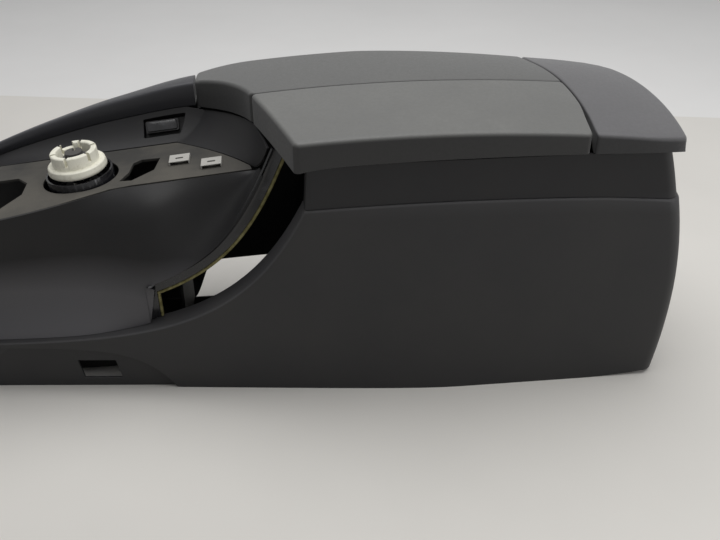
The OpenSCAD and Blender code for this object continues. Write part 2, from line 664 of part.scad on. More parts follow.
// Along the joint the skirt is only a short lip, on line lip_row
lip_depth = cover_r + cover_wall + 1;
module padded_cover(front, rear, rear_low, y0, y1, n, m, low, lip_row) {
  wide = abs(y1 - y0);
  function pt(i, j, off) =
    let (
      y = lerp(y0, y1, line_at(j, m, wide, cover_r)),
      yi = y0 + (y1 - y0) * max(off / wide, min(1 - off / wide, line_at(j, m, wide, cover_r))),
      k = ring_of(i, j, n, m),
      xa = front(yi) + off,
      xb = (k == 0 ? rear_low(yi) : rear(yi)) - off,
      x = lerp(xa, xb, line_at(i, n, xb - xa, cover_r)),
      lip = i == lip_row && j > 3 && j < m - 3
    )
      [x, yi, lip ? top_z(x, yi) - lip_depth : k == 0 ? low(x, yi) : top_z(x, yi) - drop_of(k, cover_r) - off];
  color(leather) shell_between(
    [for (i = [0:n]) [for (j = [0:m]) pt(i, j, 0)]],
    [for (i = [0:n]) [for (j = [0:m]) pt(i, j, cover_wall)]],
    flip = y1 < y0
  );
}
module near_lid_cover() {
  lid_rear = function(y) cap_joint(y) - joint_gap(y);
  padded_cover(function(y) lid_front(y), lid_rear, lid_rear, -lid_gap / 2, -lid_half, 18, 12,
    function(x, y) lid_low(x, y), 18);
}
module far_lid_cover() {
  lid_rear = function(y) cap_joint(y) - joint_gap(y);
  padded_cover(function(y) far_lid_front(y), lid_rear, lid_rear, lid_gap / 2, lid_half, 20, 12,
    function(x, y) lid_low(x, y), 20);
}
module cap_cover() {
  padded_cover(function(y) cap_joint(y), function(y) cap_rear(y), function(y) cap_rear(y, cap_low_corner_r),
    -lid_half, lid_half, 10, 20,
    function(x, y) skirt_z(x), 0);
}

// Cap base: plate on the rim of the upper band, with ribs up under the cover
base_clear = 0.4;
cap_base_t = 3;
cap_rib_z = 281;
cap_base_front = 178;
module cap_base() {
  inset = cover_wall + base_clear;
  color(plastic) {
    translate([0, 0, band_top_z + 0.3]) linear_extrude(cap_base_t) polygon(cat([
      [[cap_base_front + 6, -lid_half + inset], [cap_base_front + 6, lid_half - inset]],
      [for (i = [12:-1:0]) let (y = lerp(-lid_half + inset, lid_half - inset, i / 12)) [cap_rear(y) - inset - 4, y]]
    ]));
    for (y = [-84:42:84]) translate([cap_base_front + 12, y - 1, band_top_z + 0.3 + cap_base_t])
      cube([cap_rear(y) - inset - 12 - cap_base_front - 12, 2, cap_rib_z - band_top_z - cap_base_t]);
  }
}

// Lid liners: flat trays with stiffening ribs and a lip behind the seam
liner_clear = 0.5;
liner_rib_z = 288;
liner_front_x = -184;
liner_rib_x0 = lid_front_x + 47;
liner_rib_x1 = cap_joint_x - 36;
liner_rib_in = 14.7;
lip_drop = 5;
module lid_liner(far) {
  inset = cover_wall + liner_clear;
  sgn = far ? 1 : -1;
  y0 = lid_gap / 2 + inset;
  y1 = lid_half - inset;
  rib_half = (y1 - y0) / 2 - liner_rib_in;
  color(plastic) {
    difference() {
      union() {
        translate([0, 0, liner_z]) linear_extrude(liner_wall) polygon(cat([
          [for (i = [0:8]) let (y = sgn * lerp(y0, y1, i / 8))
            [far ? max(liner_front_x, far_lid_front(y) + inset + 1.5) : lid_front(y) + inset + 1.5, y]],
          [for (i = [8:-1:0]) let (y = sgn * lerp(y0, y1, i / 8)) [cap_joint(y) - joint_gap(y) - inset, y]]
        ]));
        translate([0, sgn * (y0 + y1) / 2, liner_z + liner_wall]) {
          for (x = [liner_rib_x0 + 6:45:liner_rib_x1 - 9]) translate([x, -rib_half, 0])
            cube([2, 2 * rib_half, liner_rib_z - liner_z - liner_wall]);
          for (i = [-1, 1]) translate([liner_rib_x0, i * rib_half * 0.79 - 1, 0])
            cube([liner_rib_x1 - liner_rib_x0, 2, liner_rib_z - liner_z - liner_wall - 2]);
        }
      }
      for (x = leaf_centres) translate([x, sgn * (hinge_y - leaf_pad_in), liner_z - 1])
        cylinder(h = liner_wall + 2, r = leaf_screw_r);
    }
  }
}
module near_lid_liner() lid_liner(false);
module far_lid_liner() lid_liner(true);

// Hinges: lugs on the bin flange, a leaf on each lid, a pin through both and a coil spring
leaf_gap = 0.4;
leaf_t = 2.6;
leaf_pad_in = 15;
leaf_screw_r = 2.1;
bore_r = hinge_pin_r + pin_clear;
hinge_total = 2 * lug_len + leaf_len + hinge_spring_len + 3 * leaf_gap;
leaf_start = lug_len + leaf_gap;
leaf_centres = [for (x = [hinge_front_x, hinge_rear_x]) x + leaf_start + leaf_len / 2];
module along_x(x, r, len) {
  translate([x, 0, 0]) rotate([0, 90, 0]) cylinder(h = len, r = r);
}
module at_hinges(sgn) {
  for (x = [hinge_front_x, hinge_rear_x]) translate([x, sgn * hinge_y, hinge_z]) children();
}
module lid_leaves(sgn) {
  rise = liner_z - hinge_z;
  color(zinc) at_hinges(sgn) difference() {
    union() {
      along_x(leaf_start, knuckle_r, leaf_len);
      translate([leaf_start, 0, 0]) rotate([90, 0, 90]) linear_extrude(leaf_len) polygon([
        [-sgn * 2.4, -2.2], [-sgn * 8.5, 2.6], [-sgn * 11, rise - leaf_t - 0.3], [-sgn * 24, rise - leaf_t - 0.3],
        [-sgn * 24, rise - 0.3], [-sgn * 8, rise - 0.3], [-sgn * 6.4, rise - 2.6], [-sgn * 6.4, 5.2],
        [-sgn * 3, 4], [0, 3.3]
      ]);
    }
    along_x(leaf_start - 1, bore_r, leaf_len + 2);
    translate([leaf_start + leaf_len / 2, -sgn * leaf_pad_in, rise - 6]) cylinder(h = 8, r = leaf_screw_r);
  }
}
module near_lid_leaves() lid_leaves(-1);
module far_lid_leaves() lid_leaves(1);
lug_plate_t = 1.6;
seat_gap = 0.3;
module hinge_brackets() {
  drop = hinge_z - bin_top_z - seat_gap;
  lug_b = hinge_total - lug_len;
  color(zinc) for (sgn = [-1, 1]) at_hinges(sgn) difference() {
    union() {
      for (x = [0, lug_b]) {
        along_x(x, knuckle_r, lug_len);
        translate([x, -knuckle_r, -drop]) cube([lug_len, 2 * knuckle_r, drop]);
      }
      translate([0, sgn > 0 ? -bin_in : -knuckle_r, -drop]) cube([hinge_total, bin_in + knuckle_r, lug_plate_t]);
    }
    along_x(-1, bore_r, hinge_total + 2);
  }
}
module hinge_pins() {
  color(zinc) for (sgn = [-1, 1]) at_hinges(sgn) {
    along_x(-0.5, hinge_pin_r, hinge_total + 1);
    along_x(-1.7, hinge_pin_r + 1, 1.2);
  }
}
module hinge_springs() {
  coil_n = 6;
  wire = hinge_spring_len / coil_n;
  start = leaf_start + leaf_len + leaf_gap;
  color(zinc) for (sgn = [-1, 1]) at_hinges(sgn) translate([start, 0, 0]) rotate([0, 90, 0])
    rotate_extrude($fn = 32) polygon(cat([
      [[hinge_pin_r + 0.15, 0]],
      [for (i = [0:coil_n - 1]) each [[3, i * wire], [3.6, (i + 0.5) * wire], [3, (i + 1) * wire]]],
      [[hinge_pin_r + 0.15, hinge_spring_len]]
    ]));
}

// Storage bin: a deep box with a flange out to the band and two cross bars at its rim
bin_r = 14;
flange_t = 2.5;
flange_half = body_half_trim - band_recess - band_wall - panel_gap;
bar_top_z = 270;
bar_w = 12;
module rounded_plan(x0, x1, half, r) {
  translate([x0 + r, -half + r]) square([x1 - x0 - 2 * r, 2 * (half - r)]);
  translate([x0, -half + r]) square([x1 - x0, 2 * (half - r)]);
  translate([x0 + r, -half]) square([x1 - x0 - 2 * r, 2 * half]);
  for (x = [x0 + r, x1 - r], y = [-half + r, half - r]) translate([x, y]) circle(r);
}
module storage_bin() {
  color(plastic) difference() {
    union() {
      translate([0, 0, bin_floor_z]) linear_extrude(bin_top_z - bin_floor_z)
        rounded_plan(bin_front_x, bin_rear_x, bin_half, bin_r);
      translate([bin_front_x, -flange_half, bin_top_z - flange_t])
        cube([bin_rear_x - bin_front_x + 14, 2 * flange_half, flange_t]);
      for (x = [bin_front_x, bin_rear_x - bar_w]) translate([x, 12 - bin_half, bin_top_z - 1])
        cube([bar_w, 2 * (bin_half - 12), bar_top_z - bin_top_z + 1]);
    }
    translate([0, 0, bin_floor_z + bin_wall]) linear_extrude(bin_top_z)
      rounded_plan(bin_front_x + bin_wall, bin_rear_x - bin_wall, bin_half - bin_wall, bin_r - bin_wall);
  }
}
module bin_mat() {
  c = bin_wall + 0.6;
  color(rubber) translate([0, 0, bin_floor_z + bin_wall]) difference() {
    linear_extrude(mat_t) rounded_plan(bin_front_x + c, bin_rear_x - c, bin_half - c, bin_r - c);
    for (y = [14 - bin_half:12:bin_half - 14]) translate([bin_front_x + 16, y - 1, mat_t - 0.6]) cube([bin_rear_x - bin_front_x - 32, 2, 1]);
  }
}
buffer_r = 4;
module lid_buffers() {
  color(rubber) for (y = [-60, -20, 20, 60]) translate([bin_rear_x - 8, y, bar_top_z]) rotate_extrude()
    polygon([[0, 0], [2.6, 0], [2.6, liner_z - seat_gap - bar_top_z - 2], [1.6, liner_z - seat_gap - bar_top_z], [0, liner_z - seat_gap - bar_top_z]]);
}

// Catches: a stud for each lid on the front bar, held by a spring clip under the liner
catch_y = 14;
catch_x = bin_front_x + 4;
stud_r = 2;
module catch_studs() {
  color(zinc) for (sgn = [-1, 1]) translate([catch_x, sgn * catch_y, bar_top_z]) rotate_extrude()
    polygon([[0, 0], [3, 0], [3, 0.8], [stud_r - 0.6, 1.2], [stud_r - 0.6, 3], [stud_r, 4], [0, 6]]);
}
module lid_catch(sgn) {
  reach = liner_z - bar_top_z - seat_gap;
  color(zinc) translate([catch_x, sgn * catch_y, bar_top_z]) {
    for (i = [-1, 1]) translate([i * (stud_r + 1) - 0.5, -4, 2.2]) cube([1, 8, reach - 2.2]);
    translate([-9, -4, reach - 0.8]) cube([18, 8, 0.8]);
  }
}
module near_lid_catch() lid_catch(-1);
module far_lid_catch() lid_catch(1);

// Carrier: two rails on the floor, cross ribs up to the deck and the bin
rail_y = 44;
rail_t = 3;
rail_h = 26;
rail_lift = 3;
rail_x1 = 262;
module carrier_frame() {
  color(plastic) for (sgn = [-1, 1]) difference() {
    union() {
      translate([front_end_x + 4, sgn * rail_y - rail_t / 2, rail_lift]) cube([rail_x1 - front_end_x - 4, rail_t, rail_h]);
      translate([front_end_x + 4, sgn > 0 ? rail_y - 10 : -rail_y - rail_t / 2, rail_lift])
        cube([rail_x1 - front_end_x - 4, 10 + rail_t / 2, rail_t]);
    }
    for (x = [front_end_x + 60:70:rail_x1 - 50]) translate([x, sgn * rail_y + 5, rail_lift + rail_h / 2 + 2]) rotate([90, 0, 0])
      cylinder(h = 10, r = 6);
  }
}
rib_t = 3;
rib_rail_gap = 0.2;
rib_tab_z = 60;
deck_rib_x = [front_end_x + 6, -372, -281, -232];
bin_rib_x = [bin_front_x - rib_t - 0.3, 60, bin_rear_x + 0.3];
module rib_plate(x, low_half, high_half, low, high, hole_r) {
  translate([x, 0, 0]) rotate([90, 0, 90]) linear_extrude(rib_t) difference() {
    polygon([[-low_half, low], [low_half, low], [high_half[1], high], [-high_half[0], high]]);
    translate([0, (low + high) / 2]) circle(hole_r);
  }
}
module carrier_ribs() {
  base = rail_lift + rail_h + rib_rail_gap;
  color(plastic) {
    for (x = deck_rib_x) rib_plate(x, min(48, half_near(x, arm_z) - flange_depth - 2), [min(30, -deck_near_y(x) - 8), 48], base, deck_at(x) - deck_t - 0.7, 36);
    for (x = bin_rib_x) rib_plate(x, bin_half + 2, [bin_half + 2, bin_half + 2], base, x == 60 ? bin_floor_z - 0.3 : bin_top_z - flange_t - 0.3, x == 60 ? 30 : 36);
    for (x = bin_rib_x, sgn = [-1, 1]) let (side = (sgn > 0 ? half_far(x, rib_tab_z) : half_near(x, rib_tab_z)) - panel_wall - 1.3)
      translate([x, sgn > 0 ? bin_half + 2 : -side, rib_tab_z]) cube([rib_t, side - bin_half - 2, 40]);
  }
}

// Steel floor brackets with the four bolt holes
bracket_w = 34;
module floor_brackets() {
  color(zinc) for (i = [-1, 1], sgn = [-1, 1]) difference() {
    union() {
      translate([i * bolt_pitch_x / 2 - bracket_w / 2, sgn > 0 ? rail_y + rail_t / 2 + 0.2 : -(bolt_pitch_y / 2 + 16), 0])
        cube([bracket_w, bolt_pitch_y / 2 + 16 - rail_y - rail_t / 2 - 0.2, bracket_t - 0.2]);
      translate([i * bolt_pitch_x / 2 - bracket_w / 2, sgn > 0 ? rail_y + rail_t / 2 + 0.2 : -(rail_y + rail_t / 2 + 0.2 + bracket_t), 0])
        cube([bracket_w, bracket_t, 24]);
    }
    translate([i * bolt_pitch_x / 2, sgn * bolt_pitch_y / 2, -1]) cylinder(h = bracket_t + 2, r = bolt_hole_d / 2);
    for (k = [-1, 1]) translate([i * bolt_pitch_x / 2 + k * 11, sgn * (rail_y + 10), 18]) rotate([90, 0, 0])
      cylinder(h = 20, r = screw_r + 0.3, center = true);
  }
}
screw_r = 2;
module frame_screws() {
  color(zinc) for (i = [-1, 1], sgn = [-1, 1], k = [-1, 1])
    translate([i * bolt_pitch_x / 2 + k * 11, sgn * (rail_y + rail_t / 2 + bracket_t + 0.3), 18]) rotate([-sgn * 90, 0, 0]) {
      cylinder(h = 2.2, r = 4);
      translate([0, 0, -bracket_t - 0.1]) cylinder(h = bracket_t + 0.2, r = screw_r);
    }
}

// Release key in the pocket of the inner wall, with its tray and two coil springs
key_tray_depth = 6.2;
key_lip = 0.8;
module at_key() {
  x = (pocket_x0 + pocket_x1) / 2;
  low = [deck_far_y, deck_at(x)];
  high = [rail_inner_y - 0.5, rail_low_z(x) - panel_gap];
  mid = lerp(low, high, 0.55);
  lean = atan2(high[0] - low[0], high[1] - low[1]);
  translate([x - 3.5, mid[0] + 1.9, mid[1] - 1.4]) rotate([0, -5.7, 0]) rotate([-lean, 0, 0]) rotate([90, 0, 0]) children();
}
module plate2(w, h, r) {
  for (x = [-w / 2 + r, w / 2 - r], y = [-h / 2 + r, h / 2 - r]) translate([x, y]) circle(r, $fn = 24);
  translate([-w / 2 + r, -h / 2]) square([w - 2 * r, h]);
  translate([-w / 2, -h / 2 + r]) square([w, h - 2 * r]);
}
key_gap = 0.3;
key_back = -2.6;
spring_x = 11;
spring_len = 3;
module key_tray() {
  color(plastic) at_key() translate([0, 0, -key_tray_depth]) difference() {
    linear_extrude(key_tray_depth - 0.4) plate2(key_w + 4, key_h + 3.2, 2);
    translate([0, 0, 0.8]) linear_extrude(key_tray_depth) plate2(key_w + 2 * key_gap, key_h + 2 * key_gap, 1.5);
  }
}
module release_key() {
  color(gloss) at_key() difference() {
    translate([0, 0, key_back]) linear_extrude(key_lip - key_back) plate2(key_w, key_h, 1.5);
    for (i = [-1, 1]) translate([i * spring_x, 0, key_back - 1]) cylinder(h = spring_len + 1.05, r = 2.3);
  }
}
module key_springs() {
  base = -key_tray_depth + 0.8;
  color(zinc) at_key() for (i = [-1, 1]) translate([i * spring_x, 0, base]) rotate_extrude($fn = 24)
    polygon([[1.1, 0], [1.9, 0.3], [1.5, 0.75], [1.9, 1.2], [1.5, 1.65], [1.9, 2.1], [1.5, 2.5], [1.9, spring_len - 0.1], [1.1, spring_len - 0.1]]);
}

// Rotary controller: cup, gimbal ring, cradle, plunger, hub and core
module at_ctrl() {
  translate([ctrl_x, ctrl_y, deck_at(ctrl_x)]) rotate([0, -deck_tilt, 0]) children();
}
cup_r = hub_r + 4;
cup_wall = 2;
cup_top = hub_lift - 6;
cup_depth = 34;
pivot_z = -12;
pivot_r = 1.6;
pivot_clear = 0.05;
ring_in = 23;
ring_out = 27;
ring_h = 6;
cradle_r = 17;
shaft_r = 6;
shaft_clear = 0.05;
module controller_cup() {
  color(gloss) at_ctrl() difference() {
    translate([0, 0, -cup_depth]) cylinder(h = cup_depth + cup_top, r = cup_r - 0.2);
    translate([0, 0, -cup_depth + cup_wall]) cylinder(h = cup_depth + cup_top, r = cup_r - cup_wall);
    translate([-cup_r - 1, 0, pivot_z]) rotate([0, 90, 0]) cylinder(h = 2 * cup_r + 2, r = pivot_r + pivot_clear);
  }
}
module gimbal_ring() {
  color(gloss) at_ctrl() translate([0, 0, pivot_z]) {
    difference() {
      translate([0, 0, -ring_h / 2]) cylinder(h = ring_h, r = ring_out);
      translate([0, 0, -ring_h]) cylinder(h = 2 * ring_h, r = ring_in);
      rotate([90, 0, 0]) cylinder(h = 2 * ring_out + 2, r = pivot_r + pivot_clear, center = true);
    }
    for (i = [-1, 1]) rotate([0, i * 90, 0]) translate([0, 0, ring_out - 1]) cylinder(h = cup_r - 0.4 - ring_out + 1, r = pivot_r);
  }
}
module gimbal_cradle() {
  color(plastic) at_ctrl() {
    difference() {
      translate([0, 0, pivot_z - 7]) cylinder(h = 13, r = cradle_r);
      translate([0, 0, pivot_z - 8]) cylinder(h = 20, r = shaft_r + shaft_clear);
    }
    for (i = [-1, 1]) translate([0, 0, pivot_z]) rotate([i * 90, 0, 0]) translate([0, 0, cradle_r - 0.5])
      cylinder(h = ring_out - cradle_r, r = pivot_r);
  }
}
flange_low = -2;
module press_spring() {
  color(zinc) at_ctrl() translate([0, 0, pivot_z + 6.1]) rotate_extrude()
    polygon([[shaft_r + 1, 0], [shaft_r + 3, 0.1], [shaft_r + 2.2, 0.6], [shaft_r + 3, 1.1], [shaft_r + 2.2, 1.6],
      [shaft_r + 3, 2.1], [shaft_r + 1, 2.1]]);
}
hub_low = 9;
module controller_plunger() {
  color(gloss) at_ctrl() union() {
    translate([0, 0, pivot_z - 9]) cylinder(h = 37, r = shaft_r);
    translate([0, 0, flange_low]) cylinder(h = 3, r = shaft_r + 4);
  }
}
hub_floor = 3;
slot_n = 6;
module controller_hub() {
  crown_z = hub_low + hub_ring_h;
  color(cream) at_ctrl() {
    difference() {
      union() {
        translate([0, 0, hub_low]) rotate_extrude() polygon([
          [shaft_r + shaft_clear, 0], [hub_r - 2, 0], [hub_r - 0.4, 1.4], [hub_r, 3], [hub_r - 1, hub_ring_h - 1],
          [hub_r - 2.4, hub_ring_h], [crown_r, hub_ring_h], [crown_r, hub_ring_h + crown_h - 1],
          [crown_r - 1, hub_ring_h + crown_h], [crown_r - 5, hub_ring_h + crown_h],
          [crown_r - 6, hub_ring_h + crown_h - 1], [crown_r - 6, hub_floor], [shaft_r + shaft_clear, hub_floor]
        ]);
      }
      for (i = [0:slot_n - 1]) rotate([0, 0, i * 360 / slot_n + 20]) translate([10, -1.5, crown_z + 4])
        cube([hub_r, 3, crown_h]);
      rotate([0, 0, 118]) translate([10, -6, crown_z + 8]) cube([hub_r, 12, crown_h]);
    }
  }
}
module controller_core() {
  color(gloss) at_ctrl() difference() {
    union() {
      translate([0, 0, hub_low + hub_floor]) cylinder(h = 12, r = 12);
      translate([0, 0, hub_low + hub_floor]) cylinder(h = 17, r = 9);
    }
    translate([0, 0, hub_low]) cylinder(h = 12, r = shaft_r + 0.3);
    translate([-1.5, 2, hub_low + hub_floor + 12]) cube([3, 12, 10]);
  }
}

near_side_panel();
far_side_panel();
rear_cover();
upper_band();
foot_strip();
knee_panel();
trim_ledge();
ledge_seal();
deck_panel();
deck_clips();
inner_wall();
far_rail();
storage_bin();
bin_mat();
lid_buffers();
carrier_frame();
carrier_ribs();
floor_brackets();
frame_screws();
cap_cover();
cap_base();
near_lid_cover();
near_lid_liner();
near_lid_leaves();
near_lid_catch();
far_lid_cover();
far_lid_liner();
far_lid_leaves();
far_lid_catch();
hinge_brackets();
hinge_pins();
hinge_springs();
catch_studs();
key_tray();
key_springs();
release_key();
controller_cup();
gimbal_ring();
gimbal_cradle();
press_spring();
controller_plunger();
controller_hub();
controller_core();
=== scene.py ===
"""Looks of a car centre armrest console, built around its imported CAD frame.

Every class is one sub-assembly. Its sizes are fields in millimetres, its methods
build meshes in the console's own frame, and the finishes are procedural.
"""
import logging
import math
from dataclasses import dataclass
from enum import Enum
from typing import Callable, Iterable, Optional, Sequence

import bmesh
import bpy
from mathutils import Matrix, Vector


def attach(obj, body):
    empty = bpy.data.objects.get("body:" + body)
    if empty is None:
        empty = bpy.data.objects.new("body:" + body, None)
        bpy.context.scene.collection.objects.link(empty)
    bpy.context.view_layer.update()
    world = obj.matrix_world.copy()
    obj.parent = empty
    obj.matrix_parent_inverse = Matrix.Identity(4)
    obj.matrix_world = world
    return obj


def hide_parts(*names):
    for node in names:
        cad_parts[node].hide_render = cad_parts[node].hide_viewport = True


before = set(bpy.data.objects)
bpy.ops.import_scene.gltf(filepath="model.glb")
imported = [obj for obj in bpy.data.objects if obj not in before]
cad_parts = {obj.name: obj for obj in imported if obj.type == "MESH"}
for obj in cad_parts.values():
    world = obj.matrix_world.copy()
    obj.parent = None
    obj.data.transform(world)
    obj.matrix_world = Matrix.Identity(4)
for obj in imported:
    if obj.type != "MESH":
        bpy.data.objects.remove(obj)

LOG = logging.getLogger("console")
MM = 0.001
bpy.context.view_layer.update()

Place = Callable[[int, int], Sequence[float]]
Colour = tuple[float, float, float]


class Side(Enum):
    """Side of the console; the value is the sign of Y."""

    NEAR = -1
    FAR = 1


class Slot(Enum):
    """Material slots of the record."""

    PLASTIC = "black_plastic"
    LEATHER = "armrest_leather"
    GLOSS = "gloss_black"
    OLIVE = "olive_rubber"


def lerp(a: float, b: float, t: float) -> float:
    """Return the value a fraction t of the way from a to b."""
    return a + (b - a) * t


def ease(t: float) -> float:
    """Return t clamped to 0..1 and eased at both ends."""
    c = max(0.0, min(1.0, t))
    return c * c * (3 - 2 * c)


def soft(d: float, w: float) -> float:
    """Return d where positive and 0 where negative, rounded over a width w."""
    return math.hypot(max(0.0, d), w) - w


def bump_at(d: float, w: float) -> float:
    """Return a bell of height 1 at d = 0 with width w."""
    return math.exp(-(d / w) ** 2)


def spread(a: float, b: float, n: int) -> list[float]:
    """Return n + 1 even values from a to b, both ends included."""
    return [lerp(a, b, i / n) for i in range(n + 1)]


def srgb(r: int, g: int, b: int) -> Colour:
    """Return the linear colour of an 8-bit display colour."""
    def one(v: int) -> float:
        c = v / 255
        return c / 12.92 if c <= 0.04045 else ((c + 0.055) / 1.055) ** 2.4
    return one(r), one(g), one(b)


class Shader:
    """Node wiring of one procedural material on Object coordinates."""

    def __init__(self, name: str) -> None:
        """Start an empty material called name with a Principled shader."""
        self.material = bpy.data.materials.new(name)
        self.material.use_nodes = True
        self.tree = self.material.node_tree
        self.bsdf = self.tree.nodes["Principled BSDF"]
        self.coords = self.tree.nodes.new("ShaderNodeTexCoord").outputs["Object"]

    def add(self, kind: str, **values: object) -> bpy.types.Node:
        """Add a node of the kind and set its attributes.

        Args:
            kind: Blender's node type name.
            values: attributes of the node, set by name.
        Returns:
            The new node.
        """
        node = self.tree.nodes.new(kind)
        for key, value in values.items():
            setattr(node, key, value)
        return node

    def link(self, source: bpy.types.NodeSocket, target: bpy.types.NodeSocket) -> None:
        """Join an output to an input."""
        self.tree.links.new(source, target)

    def stretch(self, scale: Sequence[float]) -> bpy.types.NodeSocket:
        """Return the object coordinates scaled per axis."""
        node = self.add("ShaderNodeMapping")
        node.inputs["Scale"].default_value = scale
        self.link(self.coords, node.inputs["Vector"])
        return node.outputs["Vector"]

    def noise(self, scale: float, detail: float = 2.0, rough: float = 0.5,
              coords: Optional[bpy.types.NodeSocket] = None) -> bpy.types.NodeSocket:
        """Return a noise value.

        Args:
            scale: features per metre.
            detail: octaves.
            rough: weight of the finer octaves.
            coords: coordinates to read, else the plain object ones.
        Returns:
            The factor socket.
        """
        node = self.add("ShaderNodeTexNoise")
        node.inputs["Scale"].default_value = scale
        node.inputs["Detail"].default_value = detail
        node.inputs["Roughness"].default_value = rough
        self.link(coords or self.coords, node.inputs["Vector"])
        return node.outputs["Fac"]

    def cells(self, scale: float, feature: str = "SMOOTH_F1",
              coords: Optional[bpy.types.NodeSocket] = None) -> bpy.types.NodeSocket:
        """Return the distance of a Voronoi pattern with that scale and feature."""
        node = self.add("ShaderNodeTexVoronoi", feature=feature)
        node.inputs["Scale"].default_value = scale
        self.link(coords or self.coords, node.inputs["Vector"])
        return node.outputs["Distance"]

    def ramp(self, value: bpy.types.NodeSocket, low: float, high: float,
             to_low: float = 0.0, to_high: float = 1.0) -> bpy.types.NodeSocket:
        """Return value mapped from low..high onto to_low..to_high, clamped."""
        node = self.add("ShaderNodeMapRange", clamp=True)
        for key, number in (("From Min", low), ("From Max", high),
                            ("To Min", to_low), ("To Max", to_high)):
            node.inputs[key].default_value = number
        self.link(value, node.inputs["Value"])
        return node.outputs["Result"]

    def math(self, kind: str, a: bpy.types.NodeSocket, b: object) -> bpy.types.NodeSocket:
        """Return a Math node's value of a and b, where b is a socket or a number."""
        node = self.add("ShaderNodeMath", operation=kind)
        self.link(a, node.inputs[0])
        if isinstance(b, (int, float)):
            node.inputs[1].default_value = b
        else:
            self.link(b, node.inputs[1])
        return node.outputs[0]

    def mix(self, factor: bpy.types.NodeSocket, a: object, b: object) -> bpy.types.NodeSocket:
        """Return a colour mixed from a to b by factor; a and b are sockets or colours."""
        node = self.add("ShaderNodeMix", data_type="RGBA")
        self.link(factor, node.inputs["Factor"])
        for index, value in ((6, a), (7, b)):
            if isinstance(value, tuple):
                node.inputs[index].default_value = (*value, 1.0)
            else:
                self.link(value, node.inputs[index])
        return node.outputs[2]

    def height(self) -> bpy.types.NodeSocket:
        """Return the height above the floor in metres."""
        split = self.add("ShaderNodeSeparateXYZ")
        self.link(self.add("ShaderNodeTexCoord").outputs["Object"], split.inputs[0])
        return split.outputs[2]

    def normal(self, axis: int) -> bpy.types.NodeSocket:
        """Return one component of the surface normal in the object's own frame."""
        geo = self.add("ShaderNodeTexCoord").outputs["Normal"]
        split = self.add("ShaderNodeSeparateXYZ")
        self.link(geo, split.inputs[0])
        return split.outputs[axis]

    def bump(self, height: bpy.types.NodeSocket, strength: float, depth: float,
             under: Optional[bpy.types.NodeSocket] = None) -> bpy.types.NodeSocket:
        """Return a normal bumped by height.

        Args:
            height: value from 0 to 1.
            strength: share of the full effect.
            depth: metres between heights 0 and 1.
            under: normal that this one is laid over.
        Returns:
            The normal socket.
        """
        node = self.add("ShaderNodeBump")
        node.inputs["Strength"].default_value = strength
        node.inputs["Distance"].default_value = depth
        self.link(height, node.inputs["Height"])
        if under:
            self.link(under, node.inputs["Normal"])
        return node.outputs["Normal"]

    def finish(self, colour: object, rough: object, normal: Optional[bpy.types.NodeSocket],
               **constants: float) -> bpy.types.Material:
        """Wire the shader's inputs.

        Args:
            colour: colour socket or linear colour.
            rough: roughness socket or number.
            normal: normal socket, if any.
            constants: other shader inputs by name, with _ for a space.
        Returns:
            The finished material.
        """
        for key, value in (("Base Color", colour), ("Roughness", rough)):
            if isinstance(value, tuple):
                self.bsdf.inputs[key].default_value = (*value, 1.0)
            elif isinstance(value, (int, float)):
                self.bsdf.inputs[key].default_value = value
            else:
                self.link(value, self.bsdf.inputs[key])
        if normal:
            self.link(normal, self.bsdf.inputs["Normal"])
        for key, value in constants.items():
            self.bsdf.inputs[key.replace("_", " ")].default_value = value
        return self.material


@dataclass(frozen=True)
class Plastic:
    """Moulded plastic with an etched grain, dust in its hollows and faint scuffs. Its upward faces, or its
    part below a given height, are lightened toward a pale grey as painted light.
    """

    name: str
    tint: Colour
    dust: Colour
    dust_share: float = 0.25
    # lift: share of painted light, mixing the upward faces (or the lower part) toward a pale grey
    lift: float = 0.0
    rough: float = 0.55
    shine: float = 0.35
    grain: float = 1500.0
    grain_depth: float = 0.00012
    scuffs: float = 0.3
    # low, high: heights in metres over which the painted light fades from full to none; with high at 0 it
    # follows the upward faces instead
    low: float = 0.0
    high: float = 0.0

    def build(self) -> bpy.types.Material:
        """Return the material."""
        s = Shader(self.name)
        fine = s.cells(self.grain)
        cloud = s.noise(9.0, 4.0, 0.6)
        specks = s.ramp(s.noise(420.0, 3.0, 0.7), 0.60, 0.74)
        up = s.ramp(s.normal(2), 0.1, 0.95)
        patch = s.math("MULTIPLY", s.ramp(cloud, 0.35, 0.75), s.ramp(up, 0, 1, 0.35, 1))
        cover = s.math("MULTIPLY", s.math("ADD", patch, s.math("MULTIPLY", specks, 0.35)),
                       self.dust_share)
        # Painted light: upward faces, or the part below low..high, are lightened toward a pale grey by
        # lift.
        if self.high:
            pale = s.ramp(s.height(), self.low, self.high, 1, 0)
        else:
            pale = s.ramp(s.normal(2), 0.05, 0.5)
        painted_light_share = s.math("MULTIPLY", pale, self.lift)
        colour = s.mix(cover, s.mix(painted_light_share, self.tint, srgb(92, 91, 94)), self.dust)
        streaks = s.ramp(s.noise(60.0, 5.0, 0.75, s.stretch((1, 9, 3))), 0.62, 0.8)
        worn = s.math("MULTIPLY", streaks, self.scuffs * 0.16)
        rough = s.math("SUBTRACT", s.ramp(cover, 0, 0.6, self.rough, self.rough + 0.18), worn)
        normal = s.bump(fine, 0.5, self.grain_depth, s.bump(s.noise(26.0, 3.0), 0.25, 0.0005))
        return s.finish(colour, rough, normal, Specular_IOR_Level=self.shine)


